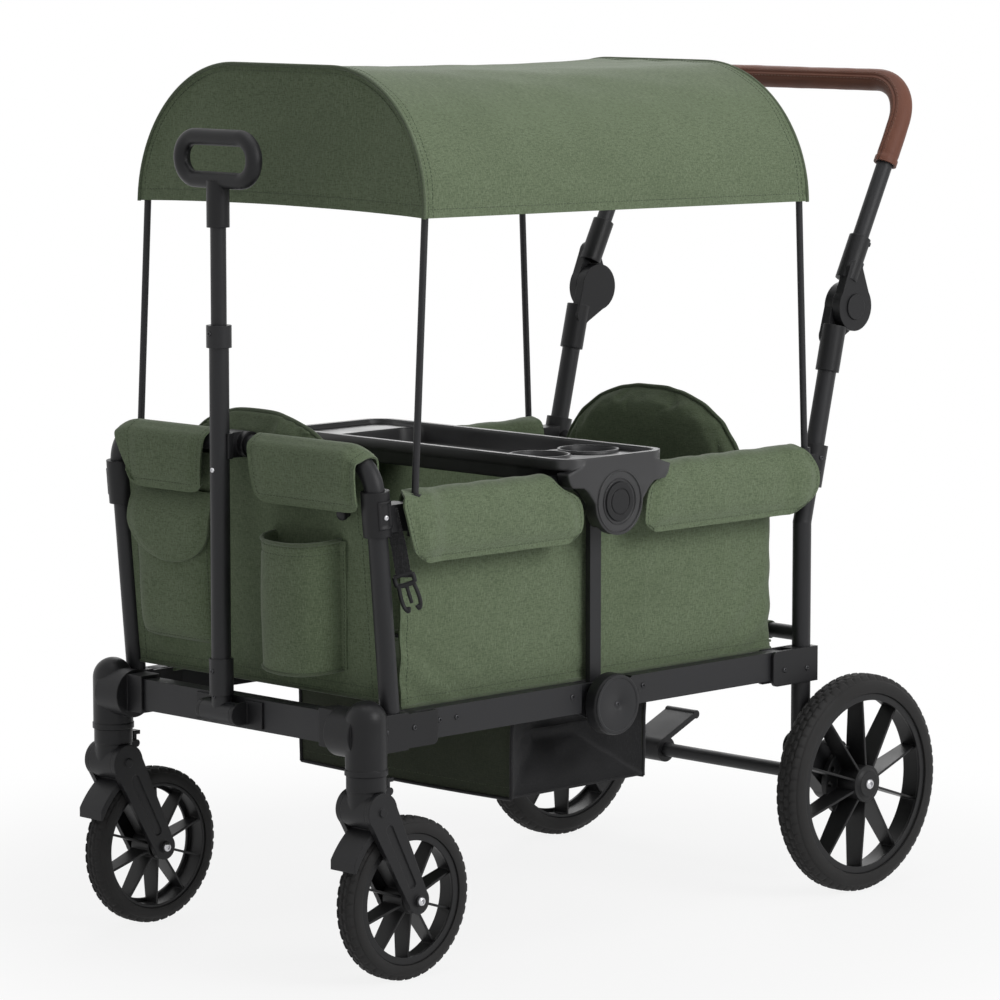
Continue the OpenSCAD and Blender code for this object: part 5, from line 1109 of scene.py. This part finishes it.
def solids_of(node):
    """The separate solids of a CAD node, as point and face lists in metres."""
    work = bmesh.new()
    work.from_mesh(nodes[node].data)
    bmesh.ops.remove_doubles(work, verts=work.verts, dist=1e-6)
    left = set(work.faces)
    found = []
    while left:
        stack, mine = [left.pop()], []
        while stack:
            face = stack.pop()
            mine.append(face)
            for edge in face.edges:
                for other in edge.link_faces:
                    if other in left:
                        left.remove(other)
                        stack.append(other)
        order = {}
        for face in mine:
            for vert in face.verts:
                order.setdefault(vert, len(order))
        found.append(([v.co.copy() for v in order], [[order[v] for v in f.verts] for f in mine]))
    work.free()
    return found


def settled(obj):
    """Applies the piece's modifiers to its mesh."""
    bpy.context.view_layer.update()
    seen = obj.evaluated_get(bpy.context.evaluated_depsgraph_get())
    mesh = bpy.data.meshes.new_from_object(seen)
    old = obj.data
    obj.modifiers.clear()
    obj.data = mesh
    bpy.data.meshes.remove(old)


def dress(obj, finish):
    """One finish over the whole piece, shaded smooth."""
    obj.data.materials.clear()
    obj.data.materials.append(finish)
    obj.data.polygons.foreach_set("use_smooth", [True] * len(obj.data.polygons))


def plumped(name, points, faces, cap, shrink=4.0):
    """A cushion blown up from a slightly smaller copy of its CAD form, by no more than cap millimetres."""
    mesh = bpy.data.meshes.new(name)
    mesh.from_pydata([tuple(p) for p in points], [], faces)
    mesh.update()
    obj = bpy.data.objects.new(name, mesh)
    scene.collection.objects.link(obj)
    low = np.array([min(p[k] for p in points) for k in range(3)])
    high = np.array([max(p[k] for p in points) for k in range(3)])
    centre, size = (low + high) / 2, high - low
    keep = 1 - 2 * shrink * MM / size
    for v in mesh.vertices:
        v.co = Vector([centre[k] + (v.co[k] - centre[k]) * keep[k] for k in range(3)])
    even = obj.modifiers.new("even_mesh", "REMESH")
    even.mode = "VOXEL"
    even.voxel_size = 0.0055
    settled(obj)
    rest = np.array([v.co[:] for v in obj.data.vertices])
    cloth = obj.modifiers.new("filling", "CLOTH")
    cloth.settings.quality = 5
    cloth.settings.mass = 0.3
    cloth.settings.use_pressure = True
    cloth.settings.uniform_pressure_force = 4.0
    cloth.settings.effector_weights.gravity = 0.0
    cloth.collision_settings.use_collision = False
    for step in range(1, 21):
        scene.frame_set(step)
    seen = obj.evaluated_get(bpy.context.evaluated_depsgraph_get())
    full = np.array([v.co[:] for v in seen.data.vertices])
    obj.modifiers.clear()
    scene.frame_set(1)
    move = full - rest
    size_of = np.linalg.norm(move, axis=1, keepdims=True)
    move *= np.minimum(1, cap * MM / np.maximum(size_of, 1e-9))
    rest = np.clip(rest + move, low - 0.002, high + 0.002)
    obj.data.vertices.foreach_set("co", rest.astype(np.float32).ravel())
    obj.data.update()
    return obj


def surface_of(obj):
    """A search tree over the piece's mesh."""
    points = [v.co.copy() for v in obj.data.vertices]
    return BVHTree.FromPolygons(points, [tuple(p.vertices) for p in obj.data.polygons])


def sewn_lines(obj, lines, depth=2.6, width=6.0):
    """Presses sewn channels into a cushion along lines in millimetres."""
    mesh = obj.data
    points = np.array([v.co[:] for v in mesh.vertices]) / MM
    faces = np.array([v.normal[:] for v in mesh.vertices])
    for line in lines:
        line = along(line, np.linspace(0, 1, 160))
        far = np.full(len(points), 1e9)
        for at in line:
            far = np.minimum(far, np.linalg.norm(points - at, axis=1))
        points -= faces * (depth * np.exp(-((far / width) ** 2)))[:, None]
    mesh.vertices.foreach_set("co", (points * MM).astype(np.float32).ravel())
    mesh.update()


def on_surface(tree, path, proud):
    """The path's points moved to the nearest place on a cushion, standing proud of it, in millimetres."""
    spots, facing = [], []
    for at in np.asarray(path, float):
        hit, normal, _, _ = tree.find_nearest(Vector(at * MM))
        spots.append(np.array(hit) / MM + np.array(normal) * proud)
        facing.append(np.array(normal))
    return np.array(spots), np.array(facing)


def trim_cushion(obj, name, body, outline, seams, node_slot):
    """Piping round a cushion's edge and thread along its sewn channels."""
    trim = Piece(name)
    tree = surface_of(obj)
    round_edge = along(np.vstack([outline, outline[:1]]), np.linspace(0, 1, 220, endpoint=False))
    edge, _ = on_surface(tree, round_edge, 1.2)
    for _ in range(3):
        edge = (np.roll(edge, 1, 0) + edge * 2 + np.roll(edge, -1, 0)) / 4
    trim.cord(edge, 3.0, PIPING, loop=True)
    for seam in seams:
        spots, facing = on_surface(tree, along(seam, np.linspace(0, 1, 90)), 0.2)
        trim.stitches(spots, facing, THREAD)
    return trim.make(body, node_slot)


def back_outline(width, height, at):
    """Edge of an arched back, as x and height pairs turned into points by at."""
    levels = np.concatenate([[0.015], np.linspace(0.06, 0.45, 12), np.linspace(0.5, 0.985, 26)])
    drop = np.clip((levels - 0.45) / 0.55, 0, 1) ** 2.4
    arch = np.where(levels < 0.45, 1.0, np.maximum(0.2, (1 - drop) ** 0.42))
    right = [(a * width / 2, v * height) for a, v in zip(arch, levels)]
    return np.array([at(x, z) for x, z in right] + [at(-x, z) for x, z in right[::-1]])


def make_seats():
    """Base and back cushions of both seats, with sewn channels and piping."""
    width, height, base_deep = 384.2, 340.0, 190.0
    lean_back, back_foot, rear_face = COLLAR_D / 2 + 3.7, 26.0, 276.5
    side_seams, cross_seam, base_seams, base_top = (-138.0, 138.0), 118.0, (-64.0, 64.0), 392.0

    def front_at(x, z, inset=13.0):
        return leaned(np.array([x, lean_back + inset, back_foot + z]))

    def rear_at(x, z, inset=13.0):
        return np.array([x, rear_face - inset, TUB_FLOOR + 0.1 + z])

    for node, body, at, base_y0, anchor, keep in (
        ("front_seat", "front_frame", front_at, -409.4, -470.0, 0.5),
        ("rear_seat", "rear_frame", rear_at, 56.1, 281.0, 0.555),
    ):
        solids = sorted(solids_of(node), key=lambda s: max(p[2] for p in s[0]))
        for kind, (points, faces) in zip(("base", "back"), solids):
            name = f"{node}_{kind}"
            obj = plumped(name, points, faces, cap=9.0)
            if kind == "back":
                outline = back_outline(width * 0.98, height, at)
                seams = [np.array([at(x, z, 33.0) for z in np.linspace(12, 268, 40)]) for x in side_seams]
                seams.append(np.array([at(x, cross_seam, 36.0) for x in np.linspace(-134, 134, 40)]))
            else:
                hw, y0, y1 = width / 2 * 0.985, base_y0 + 2, base_y0 + base_deep - 2
                edge_z = TUB_FLOOR + 19.4
                outline = np.array([(-hw, y0, edge_z), (hw, y0, edge_z), (hw, y1, edge_z), (-hw, y1, edge_z)])
                outline = along(np.vstack([outline, outline[:1]]), np.linspace(0, 1, 120, endpoint=False))
                across = np.linspace(y0 + 12, y1 - 12, 30)
                seams = [np.array([(x, y, base_top) for y in across]) for x in base_seams]
            tree = surface_of(obj)
            snapped = [on_surface(tree, s, 0.0)[0] for s in seams]
            sewn_lines(obj, snapped)
            soft = obj.modifiers.new("soft_skin", "SUBSURF")
            soft.levels = 1
            soft.render_levels = 1
            settled(obj)
            dress(obj, DEEP)
            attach(obj, body)
            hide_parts(node)
            trim = trim_cushion(obj, f"{name}_trim", body, outline, seams, "deep_fabric")
            for piece in (obj, trim):
                folds_with_frame(piece)


# Leather grip and tyres

def handle_place(px, py, pz):
    """Points of the upright push handle, tilted about its pivot."""
    c, s = math.cos(HANDLE_TILT), math.sin(HANDLE_TILT)
    y = py - HANDLE_AHEAD
    return laid(px, HANDLE_Y + y * c + pz * s, HANDLE_Z - y * s + pz * c)


def make_handle_grip():
    """A leather sleeve round the handle's bend, closed by a seam on its front side."""
    made = Piece("push_handle_leather")
    down_leg, sleeve_r, thread_r, seam_at = 62.0, 15.0, 15.4, math.pi * 1.5
    bend_z = HANDLE_LEN - HANDLE_R
    rise = [(FRAME_HALF, z) for z in np.linspace(bend_z - down_leg, bend_z, 16)[:-1]]
    whole = both_halves(rise + quarter_turn(FRAME_HALF - HANDLE_R, bend_z, HANDLE_R, 20), 260)
    outward = outward_of(whole)
    length = lengths_of(whole)
    a = np.linspace(0, 2 * math.pi, 36, endpoint=False)[None, :]
    from_end = np.minimum(length, length[-1] - length)[:, None]
    seam_turn = np.abs(np.angle(np.exp(1j * (a - seam_at))))
    radius = sleeve_r + 0.35 * ripple(length[:, None], 30 * np.cos(a), 91)
    radius = radius + 0.9 * (from_end < 9.0) - 0.7 * dip(from_end - 11.0, 1.6)
    radius = radius + 0.9 * dip(seam_turn - 0.16, 0.07) - 0.8 * dip(seam_turn, 0.05)
    side, deep = radius * np.cos(a), radius * np.sin(a)
    x = whole[:, 0:1] + outward[:, 0:1] * side
    z = whole[:, 1:2] + outward[:, 1:2] * side
    made.cloth(handle_place(x, deep, z), LEATHER, 3.2, loop=True)
    for offset in (-0.3, 0.3):
        turn = seam_at + offset
        px = whole[:, 0] + outward[:, 0] * thread_r * math.cos(turn)
        pz = whole[:, 1] + outward[:, 1] * thread_r * math.cos(turn)
        path = handle_place(px, np.full_like(px, thread_r * math.sin(turn)), pz)
        core = handle_place(whole[:, 0], np.zeros(len(px)), whole[:, 1])
        made.stitches(path[6:-6], (path - core)[6:-6], LEATHER_THREAD, 6.0, 4.2, 1.1, 0.5)
    obj = made.make("push_handle", "brown_leather")
    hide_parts("push_handle_grip")


def make_tyre(name, node, body, diameter, width, deep, blocks):
    """A tyre with staggered tread blocks, turned about the middle of its CAD node."""
    low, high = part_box(node)
    centre = [(low[k] + high[k]) / 2 / MM for k in range(3)]
    r, half = diameter / 2, width / 2
    bead, shoulder, lane_wide, groove = r - deep, 0.3 * width, 0.42, 1.9
    crown = np.linspace(-1, 1, 35)
    over = [(c * half, r - shoulder * 0.98 * max(0, (abs(c) - 0.38) / 0.62) ** 2.3) for c in crown]
    wall = [(half - 1.2, bead), (half - 0.4, bead + 1.5),
            (half, bead + deep * 0.28), (half, bead + deep * 0.42)]
    profile = np.array([(-x, z) for x, z in wall] + over[1:-1] + wall[::-1])
    a = np.linspace(0, 2 * math.pi, blocks * 10, endpoint=False)[:, None]
    x = profile[None, :, 0]
    rad = profile[None, :, 1]
    across = x / half
    lanes = (across + 2 * lane_wide) / lane_wide
    to_lane = np.abs(lanes - np.round(lanes)) * lane_wide * half
    pitch = (a / (2 * math.pi) * blocks + 0.5 * (np.floor(lanes) % 2)) % 1.0
    to_cut = np.minimum(pitch, 1 - pitch) * 2 * math.pi * r / blocks
    tread = np.clip((0.9 - np.abs(across)) / 0.06, 0, 1) * (rad > r - shoulder)
    cut = np.maximum(1 - np.clip((to_lane - 0.9) / 0.8, 0, 1), 1 - np.clip((to_cut - 1.2) / 0.8, 0, 1))
    rad = rad - groove * cut * tread
    ring = (1 - tread) * (0.5 * dip(rad - bead - deep * 0.5, 0.8))
    x = x + np.sign(x) * (ring - 0.6)
    points = np.stack([centre[0] + x, centre[1] + rad * np.cos(a), centre[2] + rad * np.sin(a)], -1)
    made = Piece(name)
    made.add(points, ring_faces(*points.shape[:2], loop=True), RUBBER)
    obj = made.make(body, "tyre", 32.0)
    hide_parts(node)


def make_tyres():
    sizes = {"front": (206.0, 36.0, 20.0, 44), "rear": (296.0, 42.0, 25.0, 60)}
    for side in ("left", "right"):
        for end, (diameter, width, deep, blocks) in sizes.items():
            node = f"{end}_tyre_{side}"
            make_tyre(f"{node}_tread", node, f"{end}_wheel_{side}", diameter, width, deep, blocks)


# Tray

def make_tray():
    """The moulded tray with its lips and corners rounded over."""
    work = bmesh.new()
    work.from_mesh(nodes["tray"].data)
    bmesh.ops.remove_doubles(work, verts=work.verts, dist=2e-5)
    bmesh.ops.dissolve_limit(work, angle_limit=math.radians(1.0), verts=work.verts, edges=work.edges)
    mesh = bpy.data.meshes.new("tray_shell")
    work.to_mesh(mesh)
    work.free()
    obj = bpy.data.objects.new("tray_shell", mesh)
    scene.collection.objects.link(obj)
    over = obj.modifiers.new("rounded_over", "BEVEL")
    over.limit_method = "ANGLE"
    over.angle_limit = math.radians(38)
    over.width = 0.0042
    over.segments = 4
    over.use_clamp_overlap = True
    settled(obj)
    dress(obj, TRAY)
    obj.data.set_sharp_from_angle(angle=math.radians(34))
    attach(obj, "tray")
    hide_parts("tray")


# Small hardware

def touch(node, start, toward):
    """The place and facing where a line meets a CAD node, in millimetres, or nothing."""
    obj = nodes[node]
    hit, at, normal, _ = obj.ray_cast(Vector(start) * MM, Vector(toward).normalized())
    if not hit:
        return None
    return np.array(at) / MM, np.array(normal)


def screw_head(made, node, start, toward, radius, finish):
    """A domed screw head with a recessed drive, seated where a line meets a CAD node."""
    found = touch(node, start, toward)
    if found is None:
        return
    h = radius * 0.5
    profile = [(radius, -0.4), (radius, h * 0.35), (radius * 0.86, h * 0.75), (radius * 0.62, h),
               (radius * 0.46, h), (radius * 0.42, h * 0.3), (radius * 0.1, h * 0.22)]
    made.turned(*found, profile, finish, 18)


def make_screws():
    """Screws on both sides of the frame, on the pull handle and at the wheels' middles."""
    plan = {
        "front_frame": [("caster_housings", [(-478.0, 318.0), (-430.0, 318.0)], 3.6, BLACKENED),
                        ("front_collars", [(-479.2, 583.3)], 3.4, STEEL)],
        "rear_frame": [("rear_collars", [(322.0, 592.0), (318.0, 572.0)], 3.2, BLACKENED),
                       ("rear_brackets", [(254.5, 312.0), (299.0, 310.0)], 3.6, BLACKENED),
                       ("rear_feet", [(352.0, 215.0)], 3.6, BLACKENED)],
        "mid_frame": [("lower_hinges", [(MID_Y, LOW_HINGE_Z)], 4.6, BLACKENED)],
        "front_lower_rails": [("front_lower_rails", [(-382.0, 321.0), (-352.0, 321.0), (-146.0, 322.0)],
                               3.6, BLACKENED)],
        "rear_lower_rails": [("rear_lower_rails", [(-15.0, 322.0)], 3.6, BLACKENED)],
        "push_handle": [("push_handle_hubs", [(410.0, 845.0), (424.0, 872.0)], 3.2, BLACKENED)],
    }
    ready = []
    for body, groups in plan.items():
        made = Piece(f"{body}_screws")
        for node, spots, radius, finish in groups:
            for side in (-1, 1):
                for y, z in spots:
                    screw_head(made, node, (side * OUTSIDE, y, z), (-side, 0, 0), radius, finish)
        ready.append((made, body))
    made = Piece("pull_handle_screws")
    ahead_y, beside = -700.0, 200.0
    for z, finish in ((625.0, STEEL), (796.0, BLACKENED), (371.0, BLACKENED), (339.0, BLACKENED)):
        screw_head(made, "pull_tube_lower", (0.0, ahead_y, z), (0, 1, 0), 3.2, finish)
    ready.append((made, "pull_handle"))
    rear_axle, caster_axle = (373.57, 148.0), (-436.4, 103.0)
    for side, sx in (("left", 1), ("right", -1)):
        made = Piece(f"rear_axle_bolt_{side}")
        screw_head(made, f"rear_rim_{side}", (sx * OUTSIDE, *rear_axle), (-sx, 0, 0), 7.0, STEEL)
        ready.append((made, f"rear_wheel_{side}"))
        made = Piece(f"front_axle_bolt_{side}")
        for face in (1, -1):
            start = (sx * FRAME_HALF + face * beside, *caster_axle)
            screw_head(made, f"caster_fork_{side}", start, (-face, 0, 0), 5.6, STEEL)
        ready.append((made, f"caster_{side}"))
    for made, body in ready:
        if made.points:
            made.make(body, "steel", 35.0)


def make_collar_frames():
    """A raised frame on the outer side of each front collar."""
    frames = Piece("front_collar_frames")
    half_turn, low, high, rim, height = 0.62, 231.5, 267.0, 4.2, 1.5
    turn = row(-half_turn, half_turn, 25)
    z = column(low, high, 29)
    edge = np.minimum((half_turn - np.abs(turn)) * COLLAR_D / 2, np.minimum(z - low, high - z))
    raised = height * np.clip((rim - edge) / 0.8, 0, 1) * np.clip((edge + 0.4) / 1.0, 0, 1)
    radius = COLLAR_D / 2 + 0.3 + raised
    plate = leaned(laid(FRAME_HALF + radius * np.cos(turn), radius * np.sin(turn), z))
    frames.cloth(plate, MOULDING, 1.0)
    frames.cloth(mirrored(plate)[:, ::-1], MOULDING, 1.0)
    frames.make("front_frame", "moulding", 35.0)


def make_panel_knob():
    """A knob under the left front flap."""
    knob = Piece("front_panel_knob")
    facing = leaned((0.0, -1.0, 0.0)) - leaned((0.0, 0.0, 0.0))
    profile = [(5.0, 0.0), (5.0, 5.0), (7.4, 6.5), (7.8, 10.0), (7.0, 12.6), (4.5, 14.0), (1.0, 14.2)]
    knob.turned(leaned((192.0, -3.0, 247.0)), facing, profile, MOULDING)
    knob.make("front_frame", "moulding", 40.0)


def make_hinge_rounds():
    """Dished caps on the lower hinges and two raised rings round each of the tray's buttons."""
    caps = Piece("lower_hinge_caps")
    rings = Piece("tray_button_rings")
    profile = [(38.6, -0.4), (38.8, 0.5), (38.2, 1.5), (36.4, 1.9), (34.6, 1.4), (34.0, 0.6), (8.6, 0.6),
               (7.8, 0.1), (1.0, 0.1)]
    ring_x, count = 272.2, 72
    circle = np.linspace(0, 2 * math.pi, count, endpoint=False)
    for side in (-1, 1):
        found = touch("lower_hinges", (side * OUTSIDE, MID_Y + 20.0, LOW_HINGE_Z), (-side, 0, 0))
        if found is not None:
            caps.turned((found[0][0], MID_Y, LOW_HINGE_Z), (side, 0, 0), profile, FRAME, 56)
        for size, thick in ((39.5, 1.3), (29.0, 1.2)):
            rim = laid(side * ring_x, MID_Y + size * np.cos(circle), HIGH_HINGE_Z + size * np.sin(circle))
            rings.cord(rim, thick, TRAY, loop=True)
    caps.make("mid_frame", "moulding", 35.0)
    rings.make("tray", "moulding")


def make_strap():
    """Ribbed webbing with the male half of a buckle, hanging from the front collar."""
    made = Piece("front_strap")
    hangs = [(250.0, -466.0, 594.0), (250.5, -460.0, 572.0), (252.0, -453.0, 546.0), (256.0, -448.0, 507.0)]
    rows, half = 46, 9.5
    across, facing = np.array([0.72, 0.69, 0.0]), np.array([0.69, -0.72, 0.0])
    line = curved(hangs, rows)
    s = row(-1, 1, 13)
    rib = 0.35 * np.sin(np.arange(rows) * 2.4)[:, None] * (np.abs(s) < 0.85)
    grid = line[:, None, :] + s[..., None] * across * half + facing * rib[..., None]
    made.cloth(grid, WEBBING, 1.6)
    tail = made.make("front_frame", "moulding")
    clip = Piece("front_strap_buckle")
    foot = np.array(hangs[-1])
    slant = math.radians(17)

    def bar(points, radius, sx=1):
        path = [foot + across * (sx * a * math.cos(slant) - z * math.sin(slant))
                + np.array([0, 0, sx * a * math.sin(slant) + z * math.cos(slant)]) for a, z in points]
        clip.cord(curved(path, 24), radius, MOULDING, 10)

    bar([(-11.5, 3.0), (-4.0, 3.6), (4.0, 3.6), (11.5, 3.0)], 3.0)
    bar([(-11.5, -9.0), (0.0, -9.6), (11.5, -9.0)], 3.2)
    for sx in (-1, 1):
        bar([(11.5, 3.0), (12.0, -3.0), (11.5, -9.0)], 2.8, sx)
    for sx in (-1, 1):
        bar([(9.5, -9.0), (11.0, -24.0), (10.5, -36.0), (7.0, -42.0), (5.0, -37.0)], 2.6, sx)
    bar([(0.0, -9.0), (0.0, -24.0), (0.0, -33.0)], 2.4)
    clip.make("front_frame", "moulding")


place_camera()
studio_floor()
studio_light()
finish_frame()
make_strap()
make_canopy()
make_tub()
make_footwell()
make_front_panel()
make_pockets()
make_front_flaps()
make_side_flaps()
make_handle_grip()
make_tyres()
make_tray()
make_collar_frames()
make_panel_knob()
make_hinge_rounds()
make_screws()
make_seats()
